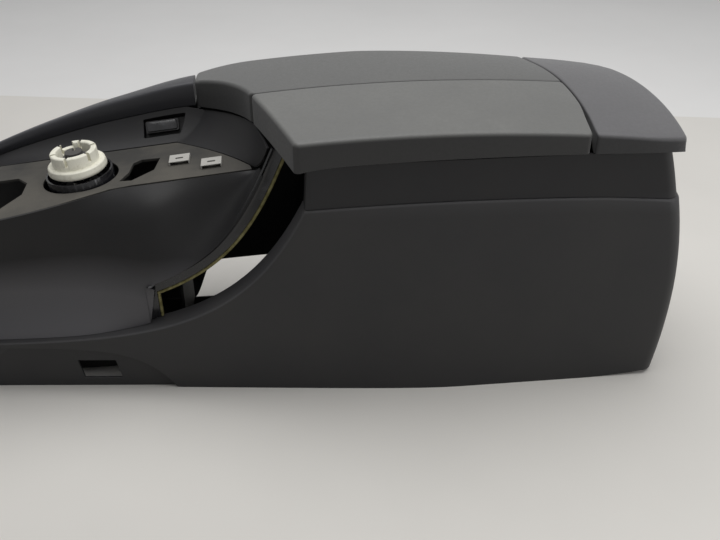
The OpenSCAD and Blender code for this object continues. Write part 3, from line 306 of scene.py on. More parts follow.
@dataclass(frozen=True)
class Leather:
    """Stretched armrest skin: pebbled grain, soft sheen and slight wear, with its steep side faces painted
    darker than its top as painted shade.
    """

    name: str
    tint: Colour
    worn: Colour
    # side: painted shade colour of the steep side faces
    side: Colour
    rough: float = 0.5
    shine: float = 0.5
    pebble: float = 900.0
    sheen: float = 0.25

    def build(self) -> bpy.types.Material:
        """Return the material."""
        s = Shader(self.name)
        wobble = s.noise(300.0, 2.0)
        pebbles = s.cells(self.pebble, "F1")
        creases = s.ramp(s.cells(self.pebble * 0.55, "DISTANCE_TO_EDGE"), 0.0, 0.12)
        grain = s.math("ADD", s.math("MULTIPLY", pebbles, 0.55), s.math("MULTIPLY", creases, 0.45))
        cloud = s.noise(11.0, 4.0, 0.6)
        fine = s.noise(130.0, 4.0, 0.65)
        share = s.math("MULTIPLY", s.ramp(cloud, 0.35, 0.72), s.ramp(fine, 0.3, 0.75, 0.5, 1.0))
        # Painted shade: faces that turn away from up take the dark side colour instead of the leather's
        # tint.
        up = s.ramp(s.normal(2), 0.15, 0.9)
        colour = s.mix(up, self.side, s.mix(share, self.tint, self.worn))
        rough = s.ramp(s.math("MULTIPLY", wobble, cloud), 0.1, 0.4, self.rough - 0.05, self.rough + 0.1)
        normal = s.bump(grain, 0.35, 0.00016, s.bump(s.noise(18.0, 3.0), 0.3, 0.0008))
        return s.finish(colour, rough, normal, Specular_IOR_Level=self.shine,
                        Sheen_Weight=self.sheen, Sheen_Roughness=0.45)


@dataclass(frozen=True)
class Metal:
    """Zinc-plated sheet with a fine brushed grain and dull spots."""

    name: str
    tint: Colour = (0.50, 0.49, 0.46)
    rough: float = 0.38

    def build(self) -> bpy.types.Material:
        """Return the material."""
        s = Shader(self.name)
        spots = s.ramp(s.noise(160.0, 4.0, 0.7), 0.42, 0.7)
        brushed = s.noise(900.0, 2.0, 0.5, s.stretch((0.08, 1, 1)))
        colour = s.mix(spots, self.tint, tuple(0.62 * c for c in self.tint))
        rough = s.ramp(spots, 0, 1, self.rough, self.rough + 0.2)
        return s.finish(colour, rough, s.bump(brushed, 0.25, 0.0001), Metallic=0.9)


@dataclass(frozen=True)
class Gloss:
    """Polished black plastic with fingerprints and hairline marks."""

    name: str
    tint: Colour = (0.012, 0.012, 0.014)
    rough: float = 0.14

    def build(self) -> bpy.types.Material:
        """Return the material."""
        s = Shader(self.name)
        smudge = s.ramp(s.noise(45.0, 5.0, 0.65), 0.45, 0.72)
        lines = s.ramp(s.noise(500.0, 3.0, 0.6, s.stretch((1, 0.05, 1))), 0.6, 0.75)
        rough = s.math("ADD", s.ramp(smudge, 0, 1, self.rough, self.rough + 0.22),
                       s.math("MULTIPLY", lines, 0.1))
        colour = s.mix(smudge, self.tint, tuple(c * 1.7 + 0.004 for c in self.tint))
        return s.finish(colour, rough, s.bump(s.noise(60.0, 2.0), 0.12, 0.0003))


@dataclass(frozen=True)
class Rubber:
    """Soft rubber or felted strip with a matt, uneven surface."""

    name: str
    tint: Colour
    pale: Colour
    rough: float = 0.8
    fleck: float = 700.0

    def build(self) -> bpy.types.Material:
        """Return the material."""
        s = Shader(self.name)
        mottle = s.ramp(s.noise(120.0, 4.0, 0.7), 0.38, 0.7)
        colour = s.mix(mottle, self.tint, self.pale)
        normal = s.bump(s.noise(self.fleck, 3.0, 0.7), 0.5, 0.0002)
        return s.finish(colour, s.ramp(mottle, 0, 1, self.rough, self.rough + 0.12), normal,
                        Specular_IOR_Level=0.3)


@dataclass(frozen=True)
class Cream:
    """Unpainted cream plastic, a little translucent, with grime in its corners."""

    name: str
    tint: Colour = (0.84, 0.82, 0.7)
    grime: Colour = (0.46, 0.43, 0.33)

    def build(self) -> bpy.types.Material:
        """Return the material."""
        s = Shader(self.name)
        dirt = s.math("MULTIPLY", s.ramp(s.noise(140.0, 5.0, 0.7), 0.5, 0.75), 0.55)
        colour = s.mix(dirt, self.tint, self.grime)
        normal = s.bump(s.noise(900.0, 2.0), 0.2, 0.00008)
        return s.finish(colour, s.ramp(dirt, 0, 0.6, 0.42, 0.6), normal, Specular_IOR_Level=0.4)


@dataclass(frozen=True)
class Backdrop:
    """Plain pale surface of the studio."""

    name: str
    tint: Colour

    def build(self) -> bpy.types.Material:
        """Return the material."""
        s = Shader(self.name)
        cloud = s.ramp(s.noise(2.2, 4.0, 0.6), 0.3, 0.75)
        colour = s.mix(cloud, self.tint, tuple(0.94 * c for c in self.tint))
        return s.finish(colour, 0.85, s.bump(s.noise(7.0, 3.0), 0.2, 0.002), Specular_IOR_Level=0.15)


class Finishes:
    """All finishes of the console, one material for each."""

    def __init__(self) -> None:
        """Build the materials."""
        dust = srgb(118, 114, 104)
        # The number after each plastic's dust share is its painted light on upward faces.
        self.panel = Plastic("panel_grain", srgb(32, 32, 34), dust, 0.10, 0.25, 0.5, 0.42).build()
        self.band = Plastic("band_grain", srgb(24, 24, 27), dust, 0.06, 0.3, 0.52, 0.36).build()
        # The knee's painted light lies on its lower part instead: full below 115 mm, gone above 160 mm.
        self.knee = Plastic("knee_grain", srgb(15, 15, 18), dust, 0.06, 0.8, 0.5, 0.3,
                            low=0.115, high=0.16).build()
        self.wall = Plastic("wall_grain", srgb(12, 12, 15), dust, 0.06, 0.1, 0.5, 0.3).build()
        self.inner = Plastic("inner_moulding", srgb(24, 24, 25), dust, 0.12, 0.1, 0.62, 0.25,
                             scuffs=0.5).build()
        self.deck = Plastic("deck_dusty", srgb(56, 55, 53), srgb(122, 117, 107), 0.55, 0.0, 0.66, 0.3,
                            700.0, 0.0002).build()
        # The third colour of each leather is the painted shade of its side faces.
        self.lid = Leather("lid_skin", srgb(92, 92, 90), srgb(105, 105, 102), srgb(26, 26, 27)).build()
        # The far lid and the cap are the same leather as the near lid with their own tints: their tops are
        # darker as painted shade, and the far lid's sides are lighter as painted light.
        self.far_lid = Leather("far_lid_skin", srgb(78, 78, 77), srgb(89, 89, 87),
                               srgb(32, 32, 33)).build()
        self.cap = Leather("cap_skin", srgb(80, 79, 81), srgb(91, 90, 92), srgb(22, 22, 25)).build()
        self.rail = Leather("rail_skin", srgb(34, 34, 40), srgb(48, 48, 53), srgb(26, 26, 32), 0.46).build()
        self.zinc = Metal("zinc_sheet").build()
        self.clip = Plastic("clip_white", srgb(188, 186, 180), dust, 0.25, 0.0, 0.4, 0.5).build()
        self.gloss = Gloss("gloss_trim").build()
        self.cream = Cream("cream_hub").build()
        self.core = Plastic("core_dusty", srgb(50, 50, 52), dust, 0.5, 0.2, 0.7, 0.3).build()
        self.olive = Rubber("olive_seal", srgb(96, 90, 52), srgb(146, 140, 98), 0.7).build()
        self.rubber = Rubber("black_rubber", srgb(26, 26, 26), srgb(40, 40, 40)).build()


@dataclass(frozen=True)
class Form:
    """Curves that the panels, lids and trim share, in millimetres."""

    front_x: float = -480.0
    half_floor: float = 116.5
    half_trim: float = 109.0
    bulge: float = 3.0
    trim_top: float = 227.3
    rear_corner_x: float = 293.0
    rear_belly_z: float = 100.0
    corner_r: float = 16.0
    corner_turn: float = 78.0
    rear_bow: float = 0.001
    rear_split: float = 86.0
    rear_lift: float = 5.0
    side_end: float = 200.0
    wall: float = 3.0
    gap: float = 0.4
    arm_z: float = 62.0
    sweep_rise: float = 157.0
    sweep_rate: float = 0.0121
    sweep_end: float = -100.0
    arm_foot: float = -243.0
    trim_corner: float = -97.0
    rail_rear: float = -205.0
    rail_r: float = 4.0
    lid_half: float = 115.0
    lid_front_x: float = -143.0
    lid_gap: float = 1.2
    deck_z: float = 217.0
    deck_tilt: float = 5.7

    def half(self, x: float, z: float, side: Side) -> float:
        """Return the half width of the body at x and height z."""
        near = 0.075 * soft(-110 - x, 40) if side is Side.NEAR else 0.0
        low = self.half_floor - 0.12 * soft(70 - x, 60)
        t = min(1.0, z / self.trim_top)
        return lerp(low, self.half_trim - near, t) + self.bulge * 4 * t * (1 - t)

    def sweep_z(self, x: float) -> float:
        """Return the height of the sweep line at x."""
        return self.arm_z + self.sweep_rise * math.exp(self.sweep_rate * (x - self.sweep_end))

    def sweep_slope(self, x: float) -> float:
        """Return the slope of the sweep line at x."""
        return self.sweep_rate * (self.sweep_z(x) - self.arm_z)

    def trim_line(self, x: float) -> float:
        """Return the height of the joint between side panel and upper band."""
        return self.trim_top - (x - 30) ** 2 / 7500

    def rear_x(self, z: float) -> float:
        """Return how far back the rear face stands at height z."""
        return self.rear_corner_x - (z - self.rear_belly_z) ** 2 / (
            950 if z > self.rear_belly_z else 1500)

    def side_point(self, s: float, z: float, inset: float, side: Side) -> tuple[float, float]:
        """Return the plan point of the body's skin at station s and height z.

        Args:
            s: X along the side, then one unit each for the run to the corner, the
                corner and the rear up to its split.
            z: height.
            inset: distance inside the skin.
            side: side of the body.
        Returns:
            X, and Y as a positive number.
        """
        half = self.half(min(s, self.side_end), z, side)
        cx, cy = self.rear_x(z) - self.corner_r, half - self.corner_r
        turn = math.radians(self.corner_turn)
        r = self.corner_r - inset
        k = s - self.side_end
        if k <= 0:
            return s, half - inset
        if k <= 1:
            return lerp(self.side_end, cx, k), half - inset
        if k <= 2:
            a = turn * (k - 1)
            return cx + r * math.sin(a), cy + r * math.cos(a)
        ex, ey = cx + r * math.sin(turn), cy + r * math.cos(turn)
        y = lerp(ey, self.rear_split, k - 2)
        return ex + self.rear_bow * (ey * ey - y * y), y

    def rear_point(self, y: float, z: float, inset: float) -> tuple[float, float]:
        """Return the plan point of the rear face at Y = y and height z."""
        ex, ey = self.side_point(self.side_end + 2, z, inset, Side.NEAR)
        return ex + self.rear_bow * (ey * ey - y * y), y

    def foot(self, s: float) -> float:
        """Return the lift of the panels' lower edge at the rear."""
        return self.rear_lift * min(1.0, max(0.0, s - self.side_end)) ** 2

    def panel_top(self, s: float) -> float:
        """Return the height of the near panel's upper edge."""
        if s > self.side_end:
            return self.trim_line(lerp(self.side_end, self.rear_corner_x,
                                       min(1.0, s - self.side_end)))
        return min(self.sweep_z(s), self.trim_line(s))

    def rail_inner(self, x: float) -> float:
        """Return the height of the far rail's inner upper edge."""
        u = self.rail_rear - x
        return 286 - 0.1 * u - 0.0007 * u * u - 4 * ease(u / 90) - 2 * ease((u - 80) / 80)

    def rail_outer(self, x: float) -> float:
        """Return the height of the far rail's outer upper edge."""
        return self.rail_inner(x) - 2 - 0.04 * (self.rail_rear - x)

    def rail_low(self, x: float) -> float:
        """Return the height of the far rail's inner lower edge."""
        return self.rail_inner(x) - max(10.0, 26 - 0.06 * (self.rail_rear - x))

    def rail_under(self, x: float) -> float:
        """Return the height of the far rail's outer lower edge."""
        return min(self.rail_low(x), self.rail_outer(x) - self.rail_r - 2)

    def far_top(self, s: float) -> float:
        """Return the height of the far panel's upper edge."""
        if s < self.rail_rear - 0.5:
            return self.rail_under(s) - self.gap
        return self.panel_top(s) if s > self.side_end else self.trim_line(s)

    def lid_front(self, y: float) -> float:
        """Return the X of the lids' front edge at y."""
        return self.lid_front_x - 0.34 * y - (0.005 * y * y if y > 0 else 0.0)

    def lid_front_low(self, y: float) -> float:
        """Return the height of the lids' lower edge at their front."""
        return 271.5 - (y + 25) ** 2 / (804 if y > -25 else 1900)

    def far_lid_front(self, y: float) -> float:
        """Return the X of the far lid's front edge, behind the rail."""
        return max(self.rail_rear + self.lid_gap / 2, self.lid_front(min(y, self.lid_half)))

    def crown(self, x: float, y: float) -> float:
        """Return the height of the crowned top of the lids and the cap."""
        t = min(1.0, abs(y) / self.lid_half)
        fall = soft(0.048 * (x - 30 - soft(x - 150, 40)) + 3, 0.5) - 3
        far = fall if y > 0 else 0.0
        return (lerp(309.5, 301.2 - far, t * t) - (x - 20) ** 2 / 3500
                - max(0.0, self.lid_front_x - x) ** 2 / 650)

    def skirt(self, x: float) -> float:
        """Return the height of the covers' lower edge along the sides."""
        return 275.8 - (max(-108.0, x) - 70) ** 2 / 9500

    def lid_low(self, x: float, y: float) -> float:
        """Return the height of a lid's lower edge at any point of its outline."""
        w = math.exp(-max(0.0, x - self.lid_front(y)) / 18)
        return lerp(self.skirt(x), min(self.skirt(x), self.lid_front_low(y)), w)

    def cap_joint(self, y: float) -> float:
        """Return the X of the joint between lids and cap."""
        reach = y + 48 if y < 50 else 98 + 40 * (1 - math.exp((50 - y) / 40))
        return 180 - 0.0009 * reach ** 2

    def lid_rear(self, y: float) -> float:
        """Return the X of the lids' rear edge; its gap to the cap widens toward the sides."""
        return self.cap_joint(y) - self.lid_gap - (2.4 if y < 0 else 1.4) * ease((abs(y) - 50) / 40)

    def cap_rear(self, y: float) -> float:
        """Return the X of the cap's rear edge, before its corners are rounded."""
        return 274 - (y + 45) ** 2 / 900

    def deck_at(self, x: float) -> float:
        """Return the height of the deck at x."""
        return self.deck_z + math.tan(math.radians(self.deck_tilt)) * (x + 340)

    def deck_near(self, x: float) -> float:
        """Return the Y of the deck's near edge."""
        return -38 - 46 * (1 - math.exp(-(max(0.0, -280 - x) / 85) ** 1.3))

    def deck_rear(self, y: float) -> float:
        """Return the X of the deck's rear edge."""
        return -140 - 0.55 * (y + 38) - 0.0042 * (y + 38) ** 2


FORM = Form()


class Maker:
    """Turns bmesh work into finished pieces that ride on the frame."""

    @staticmethod
    def grid(nu: int, nv: int, place: Place) -> bmesh.types.BMesh:
        """Return a grid of nu by nv cells warped onto a surface.

        Args:
            nu: cells along the first direction.
            nv: cells along the second direction.
            place: gives the point in millimetres of a line pair (i, j).
        Returns:
            The new bmesh, in metres.
        """
        bm = bmesh.new()
        bmesh.ops.create_grid(bm, x_segments=nu, y_segments=nv, size=1.0)
        for v in bm.verts:
            i, j = round((v.co.x + 1) / 2 * nu), round((v.co.y + 1) / 2 * nv)
            v.co = Vector(place(i, j)) * MM
        bmesh.ops.remove_doubles(bm, verts=bm.verts[:], dist=1e-6)
        bmesh.ops.dissolve_degenerate(bm, edges=bm.edges[:], dist=1e-6)
        return bm

    @staticmethod
    def face_out(bm: bmesh.types.BMesh, inside: Sequence[float]) -> None:
        """Turn an open sheet so that its faces look away from a point in millimetres."""
        centre = Vector(inside) * MM
        bm.normal_update()
        total = sum(f.normal.dot(f.calc_center_median() - centre) * f.calc_area() for f in bm.faces)
        if total < 0:
            bmesh.ops.reverse_faces(bm, faces=bm.faces[:])
        bm.normal_update()

    @staticmethod
    def close(bm: bmesh.types.BMesh) -> None:
        """Fill the open ends of a tube and turn its faces outward."""
        ends = [e for e in bm.edges if e.is_boundary]
        if ends:
            bmesh.ops.holes_fill(bm, edges=ends, sides=0)
        bmesh.ops.recalc_face_normals(bm, faces=bm.faces[:])

    @staticmethod
    def piece(bm: bmesh.types.BMesh, name: str, finish: bpy.types.Material, slot: Slot,
              body: str, stands_for: Iterable[str] = (), wall: float = 0.0,
              edge: float = 0.0, sharp: float = 40.0, rounds: int = 2) -> bpy.types.Object:
        """Make an object of a bmesh and tie it to the frame.

        Args:
            bm: mesh in metres; it is freed.
            name: name of the piece.
            finish: material.
            slot: not used.
            body: body that it rides on.
            stands_for: CAD nodes that it replaces.
            wall: thickness added behind the faces, in millimetres.
            edge: width of the rounded edges, in millimetres.
            sharp: angle in degrees above which an edge is rounded.
            rounds: segments of a rounded edge.
        Returns:
            The new object.
        """
        mesh = bpy.data.meshes.new(name)
        bm.to_mesh(mesh)
        bm.free()
        mesh.materials.append(finish)
        obj = bpy.data.objects.new(name, mesh)
        bpy.context.scene.collection.objects.link(obj)
        mesh.shade_smooth()
        if wall:
            solid = obj.modifiers.new("wall", "SOLIDIFY")
            solid.thickness = wall * MM
            solid.offset = -1
            solid.use_even_offset = True
            solid.use_quality_normals = True
            solid.thickness_clamp = 0.6
        if edge:
            Maker.round_edges(obj, edge, sharp, rounds)
        else:
            mesh.set_sharp_from_angle(angle=math.radians(sharp))
        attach(obj, body)
        nodes = tuple(stands_for)
        if nodes:
            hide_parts(*nodes)
        LOG.info("piece %s: %d faces on %s", name, len(mesh.polygons), body)
        return obj

    @staticmethod
    def round_edges(obj: bpy.types.Object, width: float, sharp: float = 40.0, rounds: int = 2) -> None:
        """Add a live bevel of a width in millimetres to an object's sharp edges."""
        bevel = obj.modifiers.new("edges", "BEVEL")
        bevel.width = width * MM
        bevel.segments = rounds
        bevel.limit_method = "ANGLE"
        bevel.angle_limit = math.radians(sharp)
        bevel.harden_normals = True
        bevel.use_clamp_overlap = True
        bevel.miter_outer = "MITER_ARC"

    @staticmethod
    def dress(node: str, finish: bpy.types.Material, edge: float = 0.0) -> None:
        """Give a CAD node a finish and, where edge is not 0, rounded edges.

        Args:
            node: name of the CAD node.
            finish: material.
            edge: width of the rounding in millimetres.
        """
        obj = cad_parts[node]
        obj.data.materials.clear()
        obj.data.materials.append(finish)
        if edge:
            weld = obj.modifiers.new("weld", "WELD")
            weld.merge_threshold = 1e-5
            Maker.round_edges(obj, edge, 35.0)
        LOG.info("node %s dressed as %s", node, finish.name)


@dataclass
class SidePanels:
    """The two moulded side panels with their rolled upper edges, and the rear cover."""

    finishes: Finishes
    edge_r: float = 2.6
    roll: int = 5
    flange_sweep: float = 25.0
    flange_top: float = 7.0
    wall_rows: int = 16
    arch_front: float = -236.0
    arch_rear: float = -70.0
    arch_h: float = 50.0
    arch_ramp: float = 30.0

    def near_low(self, s: float) -> float:
        """Return the height of the near panel's lower edge."""
        if s < FORM.arm_foot:
            return (FORM.arm_z - 3) * (1 - math.exp((s - FORM.arm_foot) / 30))
        return FORM.foot(s)

    def far_low(self, s: float) -> float:
        """Return the height of the far panel's lower edge, with its arch."""
        if s > FORM.side_end:
            return FORM.foot(s)
        return (self.arch_h * ease((s - self.arch_front) / self.arch_ramp)
                * ease((self.arch_rear - s) / self.arch_ramp))

    def section(self, s: float, low: float, high: float, depth: float, slope: float,
                side: Side) -> list[tuple[float, float, float]]:
        """Return the points of the panel's section at station s.

        Args:
            s: station along the side.
            low: height of the lower edge.
            high: height of the upper edge.
            depth: width of the flange.
            slope: slope of the upper edge along X.
            side: side of the body.
        Returns:
            Points from the lower edge up, over the roll and along the flange.
        """
        k = math.hypot(1, slope)
        r = min(self.edge_r, 0.35 * (high - low))
        ex, ey = FORM.side_point(s, high, 0, side)
        turn = (90.0 if s > FORM.side_end + 2.5 else
                FORM.corner_turn * max(0.0, min(1.0, s - FORM.side_end - 1)))
        a = math.radians(turn)
        inward = (-math.sin(a), -math.cos(a))
        points = []
        for v in spread(0, 1, self.wall_rows):
            z = lerp(low, high - r * k, v)
            x, y = FORM.side_point(s, z, 0, side)
            points.append((x, side.value * y, z))
        for i in range(1, self.roll + 1):
            b = math.radians(90 * i / self.roll)
            d, up = r * (1 - math.cos(b)), r * (1 - math.sin(b))
            points.append((ex + inward[0] * d, side.value * (ey + inward[1] * d), high - up * k))
        for v in spread(0, 1, 4)[1:]:
            d = lerp(r, depth, v)
            points.append((ex + inward[0] * d, side.value * (ey + inward[1] * d), high))
        return points

    def corner_stations(self) -> list[float]:
        """Return the stations round a rear corner."""
        e = FORM.side_end
        return ([e + 0.35, e + 0.7, e + 0.9] + [e + 1 + i / 8 for i in range(9)]
                + [e + 2.35, e + 2.7, e + 3])

    def build(self) -> None:
        """Build both side panels and the rear cover."""
        near = (spread(FORM.front_x, -262, 26) + spread(-262, FORM.trim_corner, 44)[1:]
                + [FORM.trim_corner + 0.8] + spread(-88, FORM.side_end, 40) + self.corner_stations())
        rows = []
        for s in near:
            swept = s <= FORM.trim_corner
            rows.append(self.section(
                s, self.near_low(s), FORM.panel_top(s), self.flange_sweep if swept else self.flange_top,
                FORM.sweep_slope(s) if swept else 0.0, Side.NEAR))
        self.panel("side_panel_near", rows, "near_side_panel", (0, 0, 90))
        far = (spread(FORM.front_x, self.arch_front, 26)
               + spread(self.arch_front, FORM.rail_rear - 1, 10)[1:] + [FORM.rail_rear - 0.4]
               + spread(FORM.rail_rear + 4, self.arch_rear - self.arch_ramp, 14)
               + spread(self.arch_rear - self.arch_ramp, self.arch_rear, 10)[1:]
               + spread(self.arch_rear, FORM.side_end, 34)[1:] + self.corner_stations())
        rows = [self.section(s, self.far_low(s), FORM.far_top(s), self.flange_top, 0.0, Side.FAR)
                for s in far]
        self.panel("side_panel_far", rows, "far_side_panel", (0, 0, 90))
        self.rear()

    def panel(self, name: str, rows: list[list[tuple[float, float, float]]], node: str,
              inside: Sequence[float]) -> None:
        """Make one panel from its rows of section points."""
        bm = Maker.grid(len(rows) - 1, len(rows[0]) - 1, lambda i, j: rows[i][j])
        Maker.face_out(bm, inside)
        Maker.piece(bm, name, self.finishes.panel, Slot.PLASTIC, "console", [node],
                    wall=FORM.wall, edge=0.7, sharp=50)

    def rear(self) -> None:
        """Build the rear cover between the two corner returns."""
        half = FORM.rear_split - FORM.gap
        top = FORM.panel_top(FORM.side_end + 3)
        ys, zs = spread(-half, half, 24), spread(FORM.rear_lift, top, 26)

        def place(i: int, j: int) -> tuple[float, float, float]:
            """Return the point of the rear face at line pair (i, j)."""
            x, y = FORM.rear_point(ys[i], zs[j], 0)
            return x, y, zs[j]

        bm = Maker.grid(24, 26, place)
        Maker.face_out(bm, (0, 0, 90))
        Maker.piece(bm, "rear_cover_panel", self.finishes.panel, Slot.PLASTIC, "console",
                    ["rear_cover"], wall=FORM.wall, edge=0.7, sharp=50)


@dataclass
class UpperBand:
    """The recessed band under the lids, from the near front round the rear to the far rail."""

    finishes: Finishes
    recess: float = 2.0
    wall: float = 2.5
    top_z: float = 271.2
    notch_z: float = 253.8
    notch_x: float = -199.5
    lean: float = 0.07
    turn_in: float = 22.0
    rows: int = 12

    def front_x(self, z: float, side: Side) -> float:
        """Return the X of the band's front face at height z."""
        if side is Side.FAR:
            return FORM.rail_rear + 0.6
        return FORM.trim_corner + 0.4 + self.lean * (z - FORM.trim_top)

    def low(self, s: float, side: Side) -> float:
        """Return the height of the band's lower edge."""
        return (FORM.far_top(s) if side is Side.FAR else FORM.panel_top(s)) + FORM.gap

    def column(self, s: float, side: Side) -> list[tuple[float, float, float]]:
        """Return the points up the band at station s."""
        low = self.low(s, side)
        top = self.notch_z if s < self.notch_x else self.top_z
        points = []
        for z in spread(low, top, self.rows):
            x, y = FORM.side_point(s, z, self.recess, side)
            points.append((x, side.value * y, z))
        return points

    def front(self, side: Side, inset: float, dx: float) -> list[tuple[float, float, float]]:
        """Return the points up the band's turned-in front at a distance inside the skin."""
        s = FORM.rail_rear + 1 if side is Side.FAR else FORM.trim_corner + 1
        x0 = FORM.rail_rear if side is Side.FAR else FORM.trim_corner
        top = self.notch_z if side is Side.FAR else self.top_z
        return [(self.front_x(z, side) + dx, side.value * (FORM.half(x0, z, side) - inset), z)
                for z in spread(self.low(s, side), top, self.rows)]

    def build(self) -> None:
        """Build the band as one sheet with a wall."""
        r = 1.8
        round_in = [(self.recess + r * (1 - math.sin(math.radians(a))), r * (1 - math.cos(math.radians(a))))
                    for a in (0, 30, 60, 90)]
        e = FORM.side_end
        corner = [e + 0.5, e + 0.9] + [e + 1 + i / 8 for i in range(9)]
        cols = [self.front(Side.NEAR, self.turn_in, 0), self.front(Side.NEAR, 8, 0)]
        cols += [self.front(Side.NEAR, inset, dx) for inset, dx in round_in]
        cols += [self.column(s, Side.NEAR) for s in spread(-88, e, 24) + corner]
        cols += [[(*FORM.rear_point(y, z, self.recess), z)
                  for z in spread(self.low(e + 3, Side.NEAR), self.top_z, self.rows)]
                 for y in spread(-86, 86, 14)]
        back = [e, 150, 100, 50, 0, -50, -100, -150, -190, self.notch_x + 0.7, self.notch_x - 0.5]
        cols += [self.column(s, Side.FAR) for s in corner[::-1] + back]
        cols += [self.front(Side.FAR, inset, dx) for inset, dx in round_in[::-1]]
        cols += [self.front(Side.FAR, 8, 0), self.front(Side.FAR, self.turn_in, 0)]
        bm = Maker.grid(len(cols) - 1, self.rows, lambda i, j: cols[i][j])
        Maker.face_out(bm, (60, 0, 240))
        Maker.piece(bm, "band_skin", self.finishes.band, Slot.PLASTIC, "console", ["upper_band"],
                    wall=self.wall, edge=0.6, sharp=50)


@dataclass
class Cover:
    """One padded cover: a crowned top that rolls over into a skirt on all four sides.

    The four edge radii are those of the front, rear, first and second long edge. The
    four corner radii go with them in plan: front-first, front-second, rear-first and
    rear-second, with a second set for the lower edge. Along the joint, at the front of
    the cap or the rear of a lid, the skirt is only a lip.
    """

    name: str
    front: Callable[[float], float]
    rear: Callable[[float], float]
    y0: float
    y1: float
    low: Callable[[float, float], float]
    radii: tuple[float, float, float, float]
    corners: tuple[float, float, float, float]
    cells: tuple[int, int]
    low_corners: tuple[float, float, float, float]
    lip_first: bool
    seam: bool
    wall: float = 4.0
    lip: float = 9.5
    angles: tuple[float, ...] = (0.0, 18.0, 36.0, 54.0, 72.0, 90.0)

    def lip_share(self, y: float) -> float:
        """Return how far the skirt along the joint has shrunk to its lip at y."""
        share = ease((FORM.lid_half - 5 - abs(y)) / 14)
        return share * ease((abs(y) - 5) / 14) if self.seam else share

    def ring(self, k: int, r: float, corner: float) -> float:
        """Return the inset of ring k for an edge radius and a plan corner radius."""
        if k < 3:
            return 0.0
        if k < 3 + len(self.angles) - 1:
            return r * (1 - math.cos(math.radians(self.angles[k - 2])))
        return corner

    def depth(self) -> int:
        """Return the number of rings round the cover."""
        return 3 + len(self.angles) - 1

    def drop(self, k: int, r: float) -> float:
        """Return how far ring k lies under the crown."""
        a = self.angles[max(0, min(k - 2, len(self.angles) - 1))]
        return r * (1 - math.sin(math.radians(a)))

    def build(self) -> bmesh.types.BMesh:
        """Return the cover's outer sheet."""
        last = self.depth()
        nu, nv = self.cells[0] + 2 * last, self.cells[1] + 2 * last
        wide = abs(self.y1 - self.y0)
        way = 1 if self.y1 > self.y0 else -1
        c = self.corners
        inner_x = (max(c[0], c[1]), max(c[2], c[3]))
        inner_y = (max(c[0], c[2]), max(c[1], c[3]))

        def along(k: int, n: int, radii: Sequence[float], length: float,
                  inner: Sequence[float]) -> tuple[float, int, bool]:
            """Return distance from the first edge, ring index and whether it is the first half."""
            m = min(k, n - k)
            first = k <= n - k
            if m <= last:
                side = 0 if first else 1
                d = self.ring(m, radii[side], inner[side])
                return (d if first else length - d), m, first
            return lerp(inner[0], length - inner[1], (k - last) / (n - 2 * last)), m, first

        def place(i: int, j: int) -> tuple[float, float, float]:
            """Return the point of line pair (i, j)."""
            b, kj, first_y = along(j, nv, self.radii[2:], wide, inner_y)
            y = self.y0 + way * b
            xa, xb = self.front(y), self.rear(y)
            a, ki, first_x = along(i, nu, self.radii[:2], xb - xa, inner_x)
            k = min(ki, kj)
            ra = self.radii[0] if first_x else self.radii[1]
            rb = self.radii[2] if first_y else self.radii[3]
            r = ra if ki < kj else rb
            if ki < last and kj < last:
                which = (0 if first_x else 2) + (0 if first_y else 1)
                corner = lerp(self.low_corners[which], self.corners[which], min(1.0, k / 2))
                t = (max(ki, kj) - k) / (last - k)
                theta = math.radians(45 * (1 - t) if ki < kj else 45 * (1 + t) if kj < ki else 45)
                w = theta / (math.pi / 2)
                r = lerp(ra, rb, w)
                d = self.ring(k, r, corner)
                reach = max(0.05, corner - d)
                pa = corner - reach * math.cos(theta)
                pb = corner - reach * math.sin(theta)
                if ki > kj:
                    pa += t * (inner_x[0 if first_x else 1] - corner)
                if kj > ki:
                    pb += t * (inner_y[0 if first_y else 1] - corner)
                b = pb if first_y else wide - pb
                y = self.y0 + way * b
                xa, xb = self.front(y), self.rear(y)
                a = pa if first_x else (xb - xa) - pa
            x = xa + a
            top = FORM.crown(x, y) - self.drop(k, r)
            if k <= 2:
                foot = self.low(x, y)
                if ki < kj and first_x == self.lip_first:
                    foot = lerp(foot, FORM.crown(x, y) - self.lip, self.lip_share(y))
                z = lerp(foot, top, (0.0, 0.5, 1.0)[k])
            else:
                z = top
            return x, y, z

        bm = Maker.grid(nu, nv, place)
        Maker.face_out(bm, (self.front(0) * 0.5 + self.rear(0) * 0.5, (self.y0 + self.y1) / 2, 200))
        return bm


